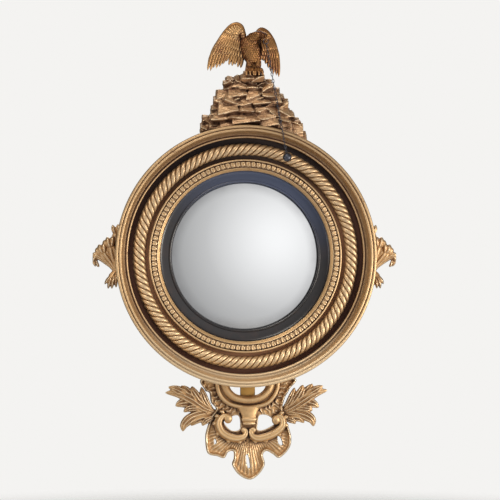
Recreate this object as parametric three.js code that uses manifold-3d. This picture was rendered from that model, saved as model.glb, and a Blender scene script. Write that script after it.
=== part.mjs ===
// Round convex mirror in a gilt frame, with a rockwork and eagle crest, a ball on a chain and a carved apron.
// Millimetres. +Z is up, the front faces -Y and the back lies on the wall plane Y = 0.
// The origin is the centre of the round frame on that plane. "Depth" is the distance in front of the wall.
import * as THREE from "three";
import { mergeVertices } from "three/addons/utils/BufferGeometryUtils.js";
import Module from "manifold-3d";

const wasm = await Module();
wasm.setup();

// ---------- Driving dimensions ----------

// The turned rings: each band's width is set by itself, from the rim inwards.
const RIM_RADIUS = 320;
const OUTER_BAND = 32;
const OUTER_GROUND = 12;
const ROPE_WIDTH = 30.4;
const INNER_GROUND = 8.9;
const INNER_BAND = 28.1;
const SLIP_BAND = 27.6;
const RING_SIDES = 54;

const CARCASE_DEPTH = 42;
const CARCASE_SETBACK = 14; // from the rim to the carcase's side
const OUTER_HEIGHT = 43; // outer moulding above the carcase's face
const INNER_HEIGHT = 15.5;
const SLIP_LIP = 7; // how far the slip reaches under the inner moulding
const SLIP_EDGE = 9; // thickness of the slip at its sight edge
const PLATE_CLEARANCE = 2.4; // between the slip's sight edge and the plate's face

const GAP = 0.3; // between pieces that seat on each other
const EASE = 1; // loose fit of plate and board in their rebates

const PLATE_SPHERE = 760; // radius of the convex face
const PLATE_THICKNESS = 4;
const PLATE_COVER = 24; // how far the plate reaches behind the slip
const BOARD_THICKNESS = 8;
const BOARD_LAP = 6; // rebate for the board, wider than the carcase's bore by this
const BLOCK_COUNT = 6;
const BLOCK_SIZE = [26, 10]; // along the rim and across it
const BLOCK_THICKNESS = 5.4; // from the board to the plate's back

const ROPE_STRANDS = 108; // strands that cross the face, counted round the ring
const ROPE_STARTS = 4; // strands in the rope's own section
const ROPE_GROOVE = 2.6;
const ROPE_ARC_STEPS = 5;
// How far the rope's round goes past its middle to the flat back.
const ROPE_FLAT = THREE.MathUtils.degToRad(35);

// The crest.
// Foot and head are from the rim's top.
const CREST_BATTEN = { x: 0, width: 60, thickness: 12, foot: -52, head: 96 };
const ROCK_DEPTH = 62;
const ROCK_HEIGHT = 114; // its top, above the rim's top
const ROCK_COURSES = [
  // left end, right end, foot and head above the rim's top, and how far the front stands back
  [-112, 149, -46, -8, 0],
  [-110, 139, -12, 13, 2],
  [-98, 119, 9, 32, 5],
  [-83, 106, 28, 54, 9],
  [-74, 93, 50, 78, 13],
  [-58, 80, 74, 98, 18],
  [-47, 64, 94, ROCK_HEIGHT, 22],
];
const EAGLE_X = 20; // middle of the perch, on the rock's top
const EAGLE_DEPTH = 48;

// The ball and its chain.
const BEAK = [45.6, 94, 97]; // X, height above the rock's top, depth of the hole in the beak
const BEAK_RING_RADIUS = 6;
const BEAK_RING_WIRE = 0.9;
const BEAK_HOLE_RADIUS = 1.8; // wider than the wire, which curves through it
const CHAIN_LEAN = THREE.MathUtils.degToRad(10.5); // towards +X, as it hangs at rest
const CHAIN_LINKS = 33;
const LINK_LENGTH = 11;
const LINK_WIDTH = 6;
const LINK_WIRE = 0.8;
const BALL_RADIUS = 11;

// The apron and the side leaves.
const STRAP = { x: 9, width: 36, thickness: 10, foot: -106, head: 58 }; // foot and head from the rim's bottom
const APRON_THICKNESS = 13;
const SCROLL_RADIUS = 8;
const LEAF_THICKNESS = 9;

// The hangers in the back.
const HANGER_ANGLE = THREE.MathUtils.degToRad(35); // from the top, to either side
const HANGER_RECESS = [34, 64, 11.5]; // width, height and depth
const HANGER_PLATE = [24, 26, 2];
const KNUCKLE_RADIUS = 3.2;
const KNUCKLE_BORE = 2.1;
const KNUCKLE_LENGTH = 15;
const HANGER_WIRE = 1.7;
const HANGER_LOOP = [24, 21]; // width and length between wire centres

// ---------- Places that follow from them ----------

const OUTER_INNER_RADIUS = RIM_RADIUS - OUTER_BAND;
const ROPE_OUTER_RADIUS = OUTER_INNER_RADIUS - OUTER_GROUND;
const ROPE_RADIUS = ROPE_WIDTH / 2;
const ROPE_CENTRE_RADIUS = ROPE_OUTER_RADIUS - ROPE_RADIUS;
const INNER_OUTER_RADIUS = ROPE_OUTER_RADIUS - ROPE_WIDTH - INNER_GROUND;
const SLIP_SEEN_RADIUS = INNER_OUTER_RADIUS - INNER_BAND;
const SIGHT_RADIUS = SLIP_SEEN_RADIUS - SLIP_BAND;
const SLIP_OUTER_RADIUS = SLIP_SEEN_RADIUS + SLIP_LIP;
const BORE_RADIUS = SLIP_OUTER_RADIUS + EASE;
const PLATE_RADIUS = SIGHT_RADIUS + PLATE_COVER;
const BOARD_REBATE_RADIUS = BORE_RADIUS + BOARD_LAP;
const CARCASE_RADIUS = RIM_RADIUS - CARCASE_SETBACK;
const GROUND = CARCASE_DEPTH;
const RIM_DEPTH = GROUND + OUTER_HEIGHT;
const PLATE_RIM_DEPTH = BOARD_THICKNESS + GAP + BLOCK_THICKNESS + GAP + PLATE_THICKNESS;
const PLATE_APEX = PLATE_RIM_DEPTH + plateDrop(PLATE_RADIUS);
const ROCK_TOP = RIM_RADIUS + ROCK_HEIGHT;
const BEAK_POINT = [BEAK[0], -BEAK[2], ROCK_TOP + BEAK[1]];

// How far the convex face has fallen at this radius.
function plateDrop(radius) {
  return PLATE_SPHERE - Math.sqrt(PLATE_SPHERE ** 2 - radius ** 2);
}

// ---------- Colours ----------

const GILT = { color: 0xb8894f, roughness: 0.42, metalness: 0.85 };
const PALE_GILT = { color: 0xc79d6d, roughness: 0.5, metalness: 0.75 };
const EBONISED = { color: 0x1b191c, roughness: 0.3, metalness: 0 };
const SILVERED = { color: 0xd2d3d4, roughness: 0.04, metalness: 1 };
const IRON = { color: 0x3c4048, roughness: 0.5, metalness: 0.8 };
const BRASS = { color: 0x9c7b3f, roughness: 0.45, metalness: 0.9 };
const PINE = { color: 0x9a7347, roughness: 0.8, metalness: 0 };

// ---------- Geometry tools ----------

// A closed mesh as a solid.
function solid(geometry) {
  const bare = geometry.index ? geometry.toNonIndexed() : geometry.clone();
  bare.deleteAttribute("normal");
  bare.deleteAttribute("uv");
  const merged = mergeVertices(bare, 1e-4);
  return new wasm.Manifold(
    new wasm.Mesh({
      numProp: 3,
      vertProperties: new Float32Array(merged.attributes.position.array),
      triVerts: new Uint32Array(merged.index.array),
    }),
  );
}

function geometryOf(made) {
  const mesh = made.getMesh();
  const geometry = new THREE.BufferGeometry();
  geometry.setAttribute("position", new THREE.BufferAttribute(mesh.vertProperties, 3));
  geometry.setIndex(new THREE.BufferAttribute(mesh.triVerts, 1));
  return geometry;
}

function join(geometries) {
  return geometries.map(solid).reduce((all, next) => all.add(next));
}

// A profile of [radius, depth] pairs, turned round the mirror's axis.
function turned(profile, sides = RING_SIDES) {
  const points = profile.map(([radius, depth]) => new THREE.Vector2(radius, -depth));
  if (profile[0][0] > 0) points.push(points[0].clone());
  if (THREE.ShapeUtils.area(points) < 0) points.reverse();
  return new THREE.LatheGeometry(points, sides);
}

// A closed outline through [x, z] points.
function outline(points) {
  return new THREE.Shape(points.map(([x, z]) => new THREE.Vector2(x, z)));
}

// An outline in the XZ plane made thick towards the front, its back at the given depth.
function slab(shape, back, thickness, bevel) {
  const geometry = new THREE.ExtrudeGeometry(shape, {
    depth: thickness - 2 * bevel,
    bevelThickness: bevel,
    bevelSize: bevel,
    bevelOffset: -bevel,
    bevelSegments: 1,
  });
  geometry.rotateX(Math.PI / 2);
  geometry.translate(0, -back - bevel, 0);
  return geometry;
}

function box(width, thickness, height, x, back, z) {
  const geometry = new THREE.BoxGeometry(width, thickness, height);
  geometry.translate(x, -back - thickness / 2, z);
  return geometry;
}

// A skin through rings of points. Open runs get a fan over each end.
function loft(rings, closed = false) {
  const count = rings[0].length;
  const positions = rings.flat().flatMap((p) => p.toArray());
  const faces = [];
  const runs = closed ? rings.length : rings.length - 1;
  for (let i = 0; i < runs; i++) {
    const next = (i + 1) % rings.length;
    for (let j = 0; j < count; j++) {
      const side = (j + 1) % count;
      const [a, b, c, d] = [i * count + j, i * count + side, next * count + side, next * count + j];
      faces.push(a, b, c, a, c, d);
    }
  }
  if (!closed) {
    for (const [ring, turn] of [
      [0, 1],
      [rings.length - 1, 0],
    ]) {
      const middle = positions.length / 3;
      const centre = rings[ring].reduce((sum, p) => sum.add(p), new THREE.Vector3());
      positions.push(...centre.divideScalar(count).toArray());
      for (let j = 0; j < count; j++) {
        const [a, b] = [ring * count + j, ring * count + ((j + 1) % count)];
        faces.push(...(turn ? [middle, b, a] : [middle, a, b]));
      }
    }
  }
  if (signedVolume(positions, faces) < 0) faces.reverse();
  const geometry = new THREE.BufferGeometry();
  geometry.setAttribute("position", new THREE.Float32BufferAttribute(positions, 3));
  geometry.setIndex(faces);
  return geometry;
}

function signedVolume(positions, faces) {
  const corner = (i) => new THREE.Vector3().fromArray(positions, 3 * faces[i]);
  let sum = 0;
  for (let i = 0; i < faces.length; i += 3) {
    sum += corner(i).dot(corner(i + 1).cross(corner(i + 2)));
  }
  return sum / 6;
}

// A tapering round bar along a curve. At each share of the way radiusAt gives its reach in the plane and
// towards the front.
function bar(points, radiusAt, steps, sides = 8) {
  const places = points.map((p) => new THREE.Vector3(...p));
  const curve = new THREE.CatmullRomCurve3(places, false, "centripetal");
  const front = new THREE.Vector3(0, -1, 0);
  const rings = [];
  for (let i = 0; i <= steps; i++) {
    const share = i / steps;
    const middle = curve.getPointAt(share);
    const along = curve.getTangentAt(share);
    const across = new THREE.Vector3().crossVectors(front, along).normalize();
    const out = new THREE.Vector3().crossVectors(along, across).normalize();
    const [wide, deep] = radiusAt(share);
    const ring = [];
    for (let j = 0; j < sides; j++) {
      const turn = (2 * Math.PI * j) / sides;
      const place = middle.clone();
      place.addScaledVector(across, wide * Math.cos(turn));
      place.addScaledVector(out, deep * Math.sin(turn));
      ring.push(place);
    }
    rings.push(ring);
  }
  return loft(rings);
}

const round = (from, to) => (share) => {
  const radius = THREE.MathUtils.lerp(from, to, share);
  return [radius, radius];
};

function part(name, made, look) {
  const geometry = made.isBufferGeometry ? made : geometryOf(made);
  const mesh = new THREE.Mesh(geometry, new THREE.MeshStandardMaterial(look));
  mesh.name = name;
  return mesh;
}

// ---------- The round frame ----------

function strapNotch({ x, width, thickness }, from, to) {
  const height = Math.abs(to - from);
  return box(width + 2 * GAP, thickness + GAP + 1, height, x, -1, (from + to) / 2);
}

function frameCarcase() {
  const ring = turned([
    [BOARD_REBATE_RADIUS, 0],
    [BOARD_REBATE_RADIUS, BOARD_THICKNESS + GAP],
    [BORE_RADIUS, BOARD_THICKNESS + GAP],
    [BORE_RADIUS, GROUND],
    [CARCASE_RADIUS, GROUND],
    [CARCASE_RADIUS, 5],
    [CARCASE_RADIUS - 5, 0],
  ]);
  const crestFoot = RIM_RADIUS + CREST_BATTEN.foot - GAP;
  const strapHead = -RIM_RADIUS + STRAP.head + GAP;
  let made = solid(ring);
  made = made.subtract(solid(strapNotch(CREST_BATTEN, crestFoot, RIM_RADIUS + 10)));
  made = made.subtract(solid(strapNotch(STRAP, strapHead, -RIM_RADIUS - 10)));
  for (const side of [-1, 1]) {
    const [x, z] = hangerPlace(side);
    const [width, height, depth] = HANGER_RECESS;
    made = made.subtract(solid(box(width, depth + 1, height, x, -1, z)));
  }
  return part("frame_carcase", made, PINE);
}

function outerMoulding() {
  const inner = OUTER_INNER_RADIUS;
  return part(
    "outer_moulding",
    turned([
      [inner, GROUND],
      [inner, GROUND + 19],
      [inner + 3.5, GROUND + 23],
      [inner + 7, GROUND + 21.5],
      [inner + 12, GROUND + 26],
      [inner + 16, GROUND + 36],
      [inner + 20, RIM_DEPTH - 1],
      [inner + 24.5, RIM_DEPTH - 3.5],
      [RIM_RADIUS - 3.5, RIM_DEPTH],
      [RIM_RADIUS, RIM_DEPTH - 5],
      [RIM_RADIUS - 3, RIM_DEPTH - 19],
      [CARCASE_RADIUS + 1, GROUND + 4],
      [CARCASE_RADIUS, GROUND],
    ]),
    GILT,
  );
}

// Strands run from the outer to the inner edge as rows of a skin, a ridge row between two groove rows.
function ropeTwist() {
  const arc = Math.PI + 2 * ROPE_FLAT;
  const lean = ((2 * Math.PI) / ROPE_STRANDS) * ROPE_STARTS * (arc / (2 * Math.PI));
  const middleDepth = GROUND + ROPE_RADIUS * Math.sin(ROPE_FLAT);
  const rings = [];
  for (let row = 0; row < 2 * ROPE_STRANDS; row++) {
    const start = (Math.PI * row) / ROPE_STRANDS;
    const reach = ROPE_RADIUS - (row % 2 ? ROPE_GROOVE : 0);
    const ring = [];
    for (let step = 0; step <= ROPE_ARC_STEPS; step++) {
      const share = step / ROPE_ARC_STEPS;
      const turn = -ROPE_FLAT + arc * share;
      const angle = start - lean * share;
      const radius = ROPE_CENTRE_RADIUS + reach * Math.cos(turn);
      const end = step === 0 || step === ROPE_ARC_STEPS;
      const depth = end ? GROUND : middleDepth + reach * Math.sin(turn);
      ring.push(new THREE.Vector3(radius * Math.sin(angle), -depth, radius * Math.cos(angle)));
    }
    rings.push(ring);
  }
  return part("rope_twist", loft(rings, true), GILT);
}

function innerMoulding() {
  const inner = SLIP_SEEN_RADIUS;
  const outer = INNER_OUTER_RADIUS;
  const crown = GROUND + INNER_HEIGHT;
  return part(
    "inner_moulding",
    turned([
      [inner, GROUND],
      [inner, GROUND + 4],
      [inner + 7.8, crown - 4],
      [inner + 9.4, crown - 4.5],
      [inner + 15, crown],
      [inner + 21.4, crown - 2.5],
      [outer - 4.7, crown - 3.5],
      [outer - 2.2, crown - 1],
      [outer, crown - 3.5],
      [outer, GROUND],
    ]),
    GILT,
  );
}

function slip() {
  const front = GROUND - GAP;
  const seat = PLATE_RIM_DEPTH + GAP;
  const sightBack = PLATE_APEX - plateDrop(SIGHT_RADIUS) + PLATE_CLEARANCE;
  const sight = sightBack + SLIP_EDGE;
  return part(
    "slip",
    turned([
      [SIGHT_RADIUS, sightBack],
      [SIGHT_RADIUS, sight],
      [SIGHT_RADIUS + 3.4, sight + 2.4],
      [SIGHT_RADIUS + 6, sight + 1],
      [SLIP_SEEN_RADIUS, front],
      [SLIP_OUTER_RADIUS, front],
      [SLIP_OUTER_RADIUS, seat],
      [PLATE_RADIUS, seat],
    ]),
    EBONISED,
  );
}

function mirrorPlate() {
  const shares = [1, 0.7, 0.36];
  const front = shares.map((share) => {
    const radius = PLATE_RADIUS * share;
    return [radius, PLATE_APEX - plateDrop(radius)];
  });
  const back = front.map(([radius, depth]) => [radius, depth - PLATE_THICKNESS]).reverse();
  const profile = [...front, [0, PLATE_APEX], [0, PLATE_APEX - PLATE_THICKNESS], ...back];
  return part("mirror_plate", turned(profile), SILVERED);
}

function backBoard() {
  const radius = BOARD_REBATE_RADIUS - EASE;
  const profile = [[0, 0], [radius, 0], [radius, BOARD_THICKNESS], [0, BOARD_THICKNESS]];
  return part("back_board", turned(profile), PINE);
}

// Blocks glued in the bore press the plate's rim towards the slip.
function glazingBlock(index) {
  const [along, across] = BLOCK_SIZE;
  const facet = BORE_RADIUS * Math.cos(Math.PI / RING_SIDES);
  const block = box(along, BLOCK_THICKNESS, across, 0, BOARD_THICKNESS + GAP, facet - GAP - across / 2);
  const mesh = part("glazing_block_" + (index + 1), block, PINE);
  const facetTurn = (2 * Math.PI) / RING_SIDES;
  mesh.rotation.y = facetTurn * (Math.round((index * RING_SIDES) / BLOCK_COUNT) + 0.5);
  return mesh;
}

// ---------- The crest ----------

// The space that the frame takes up, with its clearance, which the pieces round it are cut back from.
function frameSpace() {
  return solid(
    turned([
      [0, -5],
      [CARCASE_RADIUS + GAP, -5],
      [CARCASE_RADIUS + GAP, GROUND - 1],
      [RIM_RADIUS - 3 + GAP, RIM_DEPTH - 21],
      [RIM_RADIUS + GAP, RIM_DEPTH - 7],
      [RIM_RADIUS + GAP, RIM_DEPTH + 30],
      [0, RIM_DEPTH + 30],
    ]),
  );
}

function crestBatten() {
  const { x, width, thickness, foot, head } = CREST_BATTEN;
  const batten = box(width, thickness, head - foot, x, 0, RIM_RADIUS + (foot + head) / 2);
  return part("crest_batten", batten, PINE);
}

// One course of rock: a ragged plan, wider at its upper edge, so that each course overhangs the one below.
function rockCourse([left, right, foot, head, setback], index) {
  const back = CREST_BATTEN.thickness + GAP;
  const front = back + ROCK_DEPTH - setback;
  const count = 7;
  const plan = [];
  for (let i = 0; i <= count; i++) {
    const ragged = Math.sin(i * 2.3 + index * 1.7) + 0.6 * Math.sin(i * 4.1 + index * 2.9);
    const edge = i === 0 || i === count ? 14 : 0;
    plan.push([THREE.MathUtils.lerp(left, right, i / count), front - edge + 4 * ragged]);
  }
  const rings = [0, 0.55, 1].map((share) => {
    const draw = [9, 0, 4][Math.round(share * 2)];
    const z = RIM_RADIUS + THREE.MathUtils.lerp(foot, head, share);
    const ring = plan.map(([x, depth], i) => {
      const level = index === ROCK_COURSES.length - 1 && share === 1;
      const dip = level ? 0 : 1.8 * Math.sin(i * 3.7 + index * 5.1 + share * 2);
      const inwards = i === 0 ? draw : i === count ? -draw : 0;
      return new THREE.Vector3(x + inwards, -(depth - draw), z + dip);
    });
    ring.push(new THREE.Vector3(right - draw, -back, z), new THREE.Vector3(left + draw, -back, z));
    return ring;
  });
  return loft(rings);
}

// The inside of the rock, which the courses stand out from.
function rockCore() {
  const back = CREST_BATTEN.thickness + GAP;
  const rings = ROCK_COURSES.flatMap(([left, right, foot, head, setback], i) => {
    const z = i === 0 ? foot : i === ROCK_COURSES.length - 1 ? head : (foot + head) / 2;
    const front = back + ROCK_DEPTH - setback - 18;
    return [
      [
        new THREE.Vector3(left + 14, -back, RIM_RADIUS + z),
        new THREE.Vector3(right - 14, -back, RIM_RADIUS + z),
        new THREE.Vector3(right - 20, -front, RIM_RADIUS + z),
        new THREE.Vector3(left + 20, -front, RIM_RADIUS + z),
      ],
    ];
  });
  return loft(rings);
}

function rockCrest() {
  const made = join([rockCore(), ...ROCK_COURSES.map(rockCourse)]);
  return part("rock_crest", made.subtract(frameSpace()), PALE_GILT);
}

// A place on the rock: X, depth, and height above the rock's top.
function onRock([x, depth, height]) {
  return [x, -depth, ROCK_TOP + height];
}

const SHOULDERS = { left: -4, right: 24, front: 58, foot: 48, head: 148 };

// The block of space that a wing is set in, against the body's flat shoulder.
function wingSpace(side, foot, gap) {
  const { left, right, front, head } = SHOULDERS;
  const edge = side < 0 ? left - gap : right + gap;
  const width = 160;
  const middle = ROCK_TOP + (foot + head) / 2;
  return solid(box(width, front - gap, head - foot, edge + (side * width) / 2, 0, middle));
}

function eagleBody() {
  const perchHeight = 22;
  const perch = new THREE.CylinderGeometry(17, 24, perchHeight, 12);
  perch.rotateX(Math.PI / 2);
  perch.scale(1.05, 0.9, 1);
  perch.translate(EAGLE_X, -EAGLE_DEPTH, ROCK_TOP + GAP + perchHeight / 2);
  const torso = bar(
    [[20, 44, 32], [16, 48, 54], [11, 52, 78], [9, 55, 100]].map(onRock),
    (share) => {
      const swell = Math.sin(Math.PI * (0.15 + 0.75 * share));
      return [11 + 11 * swell, 10 + 9 * swell];
    },
    5,
    10,
  );
  const neck = bar(
    [[7, 53, 84], [13, 61, 96], [23, 71, 103], [33, 80, 105], [41, 86, 103]].map(onRock),
    round(13.5, 8.5),
    5,
    8,
  );
  const skull = new THREE.IcosahedronGeometry(9, 1);
  skull.translate(...onRock([41.5, 87, 102.5]));
  const beak = bar(
    [[43.5, 91, 102], [45, 96, 101], [45.6, 98.6, 96.5], [45.6, 96.8, 90.2]].map(onRock),
    (share) => [5 - 3 * share, 5 - 1.6 * share],
    4,
    8,
  );
  const pieces = [perch, torso, neck, skull, beak, eagleTail()];
  for (const side of [-1, 1]) pieces.push(...eagleLeg(side));
  const hole = new THREE.CylinderGeometry(BEAK_HOLE_RADIUS, BEAK_HOLE_RADIUS, 20, 10);
  hole.rotateZ(Math.PI / 2);
  hole.translate(...BEAK_POINT);
  const made = join(pieces)
    .subtract(wingSpace(-1, SHOULDERS.foot, 0))
    .subtract(wingSpace(1, SHOULDERS.foot, 0))
    .subtract(solid(hole));
  return part("eagle_body", made, GILT);
}

// A feathered leg and its three front toes.
function eagleLeg(side) {
  const ankle = EAGLE_X + side * 10;
  const shank = [[EAGLE_X + side * 7, 48, 46], [ankle, 52, 31], [ankle, 52, 18]];
  const pieces = [bar(shank.map(onRock), round(8.5, 4.6), 3, 8)];
  for (const toe of [-1, 0, 1]) {
    const knuckle = ankle + toe * 5;
    const tip = ankle + toe * 7;
    const claw = [[ankle, 52, 22], [knuckle, 64, 20], [tip, 72, 14], [tip, 73, 6]];
    pieces.push(bar(claw.map(onRock), round(4, 1.8), 3, 5));
  }
  return pieces;
}

// The tail fans out behind the perch, down to the rock.
function eagleTail() {
  const edge = [[6, 54], [30, 54], [36, 18], [37, 4], [28, GAP], [12, GAP], [3, 4], [4, 18]];
  return slab(outline(edge.map(([x, height]) => [x, ROCK_TOP + height])), 24, 16, 3);
}

// Wing outlines: X and height above the rock's top.
const WINGS = {
  wing_left: {
    side: -1,
    feathers: [
      [8, 100], [-8, 126], [-22, 140], [-40, 134], [-62, 108], [-84, 74], [-93, 46], [-89, 22], [-80, 32],
      [-76, 25], [-67, 36], [-60, 29], [-52, 42], [-46, 36], [-37, 44], [-34, 33], [-26, 42], [-23, 32],
      [-14, 44], [-11, 28], [0, 44], [8, 72],
    ],
    coverts: [
      [8, 98], [-8, 124], [-22, 136], [-40, 130], [-60, 106], [-74, 82], [-64, 70], [-54, 68], [-44, 62],
      [-34, 64], [-22, 58], [-8, 62], [8, 76],
    ],
    edge: [
      [6, 50, 96], [-6, 48, 124], [-22, 46, 137], [-42, 44, 130], [-64, 43, 102], [-86, 41, 66],
      [-91, 40, 44],
    ],
  },
  wing_right: {
    side: 1,
    feathers: [
      [20, 98], [26, 118], [38, 126], [58, 117], [74, 94], [82, 62], [86, 36], [81, 6], [76, 18], [71, 11],
      [67, 24], [61, 18], [58, 32], [51, 30], [49, 44], [42, 46], [36, 58], [22, 68],
    ],
    coverts: [
      [20, 96], [26, 116], [38, 124], [57, 115], [71, 92], [74, 72], [64, 62], [56, 66], [46, 60], [36, 68],
      [22, 72],
    ],
    edge: [
      [22, 50, 92], [28, 48, 116], [39, 47, 123], [57, 46, 115], [73, 44, 92], [81, 42, 58], [84, 40, 36],
    ],
  },
};

function wing([name, { side, feathers, coverts, edge }]) {
  const raise = ([x, height]) => [x, ROCK_TOP + height];
  const lower = slab(outline(feathers.map(raise)), 34, 8, 2);
  const upper = slab(outline(coverts.map(raise)), 38, 10, 2.5);
  const bone = bar(edge.map(onRock), round(7, 2.6), 8, 6);
  const made = join([lower, upper, bone]).intersect(wingSpace(side, 0, GAP));
  return part(name, made, GILT);
}

// ---------- The chain and ball ----------

// An oval link about its own middle, long along Z, in the YZ plane or turned to face the front.
function link(length, width, wire, facesFront) {
  const corners = 6;
  const rings = [];
  for (let i = 0; i < corners; i++) {
    const turn = (2 * Math.PI * i) / corners;
    const end = Math.sign(Math.round(Math.cos(turn) * 100)) * (length - width) * 0.5;
    const reach = width / 2 - wire;
    const along = end + reach * Math.cos(turn);
    const across = reach * Math.sin(turn);
    const outward = new THREE.Vector2(Math.sin(turn), Math.cos(turn));
    const ring = [];
    for (let j = 0; j < 3; j++) {
      const spin = Math.PI + (2 * Math.PI * j) / 3;
      const out = wire * Math.cos(spin);
      const aside = wire * Math.sin(spin);
      const a = across + out * outward.x;
      const z = along + out * outward.y;
      ring.push(facesFront ? new THREE.Vector3(a, aside, z) : new THREE.Vector3(aside, a, z));
    }
    rings.push(ring);
  }
  return loft(rings, true);
}

const RING_CENTRE = [BEAK_POINT[0], BEAK_POINT[1], BEAK_POINT[2] - BEAK_RING_RADIUS];
const LINK_BITE = 0.3; // how far neighbouring links' wires sit into each other where they bear
const LINK_PITCH = LINK_LENGTH - 4 * LINK_WIRE + LINK_BITE;

function beakRing() {
  const ring = new THREE.TorusGeometry(BEAK_RING_RADIUS, BEAK_RING_WIRE, 5, 18);
  ring.rotateX(Math.PI / 2);
  ring.translate(...RING_CENTRE);
  return part("beak_ring", solid(ring), IRON);
}

// The chain hangs from the ring's lowest point, about the ring's centre.
function linkMiddle(index) {
  const top = -(BEAK_RING_RADIUS - BEAK_RING_WIRE - GAP) + 2 * LINK_WIRE;
  return top - LINK_LENGTH / 2 - index * LINK_PITCH;
}

function chain() {
  const links = [];
  for (let i = 0; i < CHAIN_LINKS; i++) {
    const next = link(LINK_LENGTH, LINK_WIDTH, LINK_WIRE, i % 2 === 1);
    next.translate(0, 0, linkMiddle(i));
    links.push(next);
  }
  return part("ball_chain", join(links), IRON);
}

function ball() {
  const lastFoot = linkMiddle(CHAIN_LINKS - 1) - LINK_LENGTH / 2;
  const eyeRadius = 2.6;
  const eyeTop = lastFoot + 2 * LINK_WIRE + GAP + 2 * LINK_WIRE;
  const eyeCentre = eyeTop - LINK_WIRE - eyeRadius;
  const eye = new THREE.TorusGeometry(eyeRadius, LINK_WIRE, 6, 12);
  if (CHAIN_LINKS % 2 === 0) eye.rotateY(Math.PI / 2);
  eye.rotateX(CHAIN_LINKS % 2 === 0 ? 0 : Math.PI / 2);
  eye.translate(0, 0, eyeCentre);
  const sphere = new THREE.IcosahedronGeometry(BALL_RADIUS, 2);
  sphere.translate(0, 0, eyeCentre - eyeRadius - BALL_RADIUS + 1);
  return part("ball", join([sphere, eye]), IRON);
}

// ---------- The side leaves ----------

// Outline of a side leaf: how far out from the rim, and height.
const SIDE_LEAF = [
  [-16, 76], [-6, 77], [-2, 70], [3, 73], [5, 60], [6, 48], [14, 49], [20, 40], [20, 31], [30, 28], [38, 19],
  [38, 11], [45, 12], [53, 4], [52, -16], [45, -25], [38, -18], [38, -10], [27, -9], [19, -20], [12, -34],
  [7, -41], [16, -56], [19, -70], [14, -79], [7, -73], [0, -79], [-8, -73], [-16, -76],
];

function sideLeaf(side) {
  const shape = outline(SIDE_LEAF.map(([out, z]) => [side * (RIM_RADIUS + out), z]));
  const body = slab(shape, 8, 20, 4);
  const stem = bar(
    [[-14, 30, -4], [8, 32, -2], [26, 33, 8], [42, 30, 6], [47, 26, -14]].map(([out, depth, z]) => [
      side * (RIM_RADIUS + out),
      -depth,
      z,
    ]),
    round(7, 4),
    6,
    8,
  );
  const made = join([body, stem]).subtract(frameSpace());
  return part(side < 0 ? "side_leaf_left" : "side_leaf_right", made, GILT);
}

// ---------- The apron ----------

// A place on the apron: X, depth, and height from the rim's bottom.
function onApron([x, depth, height]) {
  return [x, -depth, height - RIM_RADIUS];
}

function apronStrap() {
  const { x, width, thickness, foot, head } = STRAP;
  return part("apron_strap", box(width, thickness, head - foot, x, 0, -RIM_RADIUS + (foot + head) / 2), GILT);
}

const APRON_BACK = STRAP.thickness + GAP;
const APRON_FRONT = APRON_BACK + APRON_THICKNESS;

const APRON_OUTLINE = [
  [-92, 24], [-97, -8], [-86, -15], [-82, -38], [-70, -54], [-82, -72], [-90, -96], [-96, -122], [-91, -162],
  [-68, -170], [-50, -175], [-40, -160], [-27, -159], [-26, -176], [-30, -192], [-14, -216], [13, -228],
  [36, -214], [50, -190], [45, -168], [54, -158], [70, -166], [86, -175], [111, -150], [115, -122],
  [106, -92], [99, -72], [94, -52], [100, -27], [110, -8], [114, 24],
];
const APRON_HOLES = [
  [[-38, 12], [-36, -8], [-24, -20], [9, -26], [40, -20], [53, -8], [56, 12]],
  [[-28, -72], [-14, -72], [-10, -90], [-12, -106], [-31, -108], [-46, -95], [-50, -84], [-38, -80]],
  [[36, -72], [48, -69], [64, -75], [74, -90], [66, -98], [46, -107], [32, -106], [33, -90]],
  [[3, -170], [9, -169], [14, -198], [7, -196]],
  [[-74, -126], [-69, -136], [-74, -142]],
  [[82, -120], [90, -128], [94, -144], [84, -140]],
];

function apronShape() {
  const lower = (points) => points.map(([x, height]) => [x, height - RIM_RADIUS]);
  const shape = outline(lower(APRON_OUTLINE));
  shape.holes = APRON_HOLES.map((hole) => outline(lower(hole)));
  return shape;
}

function apronShell() {
  const made = solid(slab(apronShape(), APRON_BACK, APRON_THICKNESS, 2.5));
  return part("apron_shell", made.subtract(frameSpace()), GILT);
}

// The shell's outline grown by the gap, for what butts against its edge.
function apronShellSpace() {
  const shape = apronShape();
  shape.holes = [];
  const geometry = new THREE.ExtrudeGeometry(shape, {
    depth: APRON_THICKNESS + 40,
    bevelThickness: 0.01,
    bevelSize: 0,
    bevelOffset: GAP,
    bevelSegments: 1,
  });
  geometry.rotateX(Math.PI / 2);
  geometry.translate(0, 5 - APRON_BACK, 0);
  return solid(geometry);
}

// The space in front of the shell's face, where the scrolls are planted.
function scrollSpace() {
  const reach = 2 * RIM_RADIUS;
  return solid(box(reach, 60, reach, 0, APRON_FRONT + GAP, -RIM_RADIUS));
}

function uScroll(left, right, bottom, depth, wide, deep) {
  const middle = (left + right) / 2;
  const points = [
    [left, depth, 14],
    [left - 1, depth, -4],
    [left + 12, depth, bottom * 0.68],
    [middle, depth, bottom],
    [right - 12, depth, bottom * 0.68],
    [right + 1, depth, -4],
    [right, depth, 14],
  ];
  return bar(points.map(onApron), (share) => [wide - 2 * Math.abs(2 * share - 1), deep], 12, 6);
}

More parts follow.
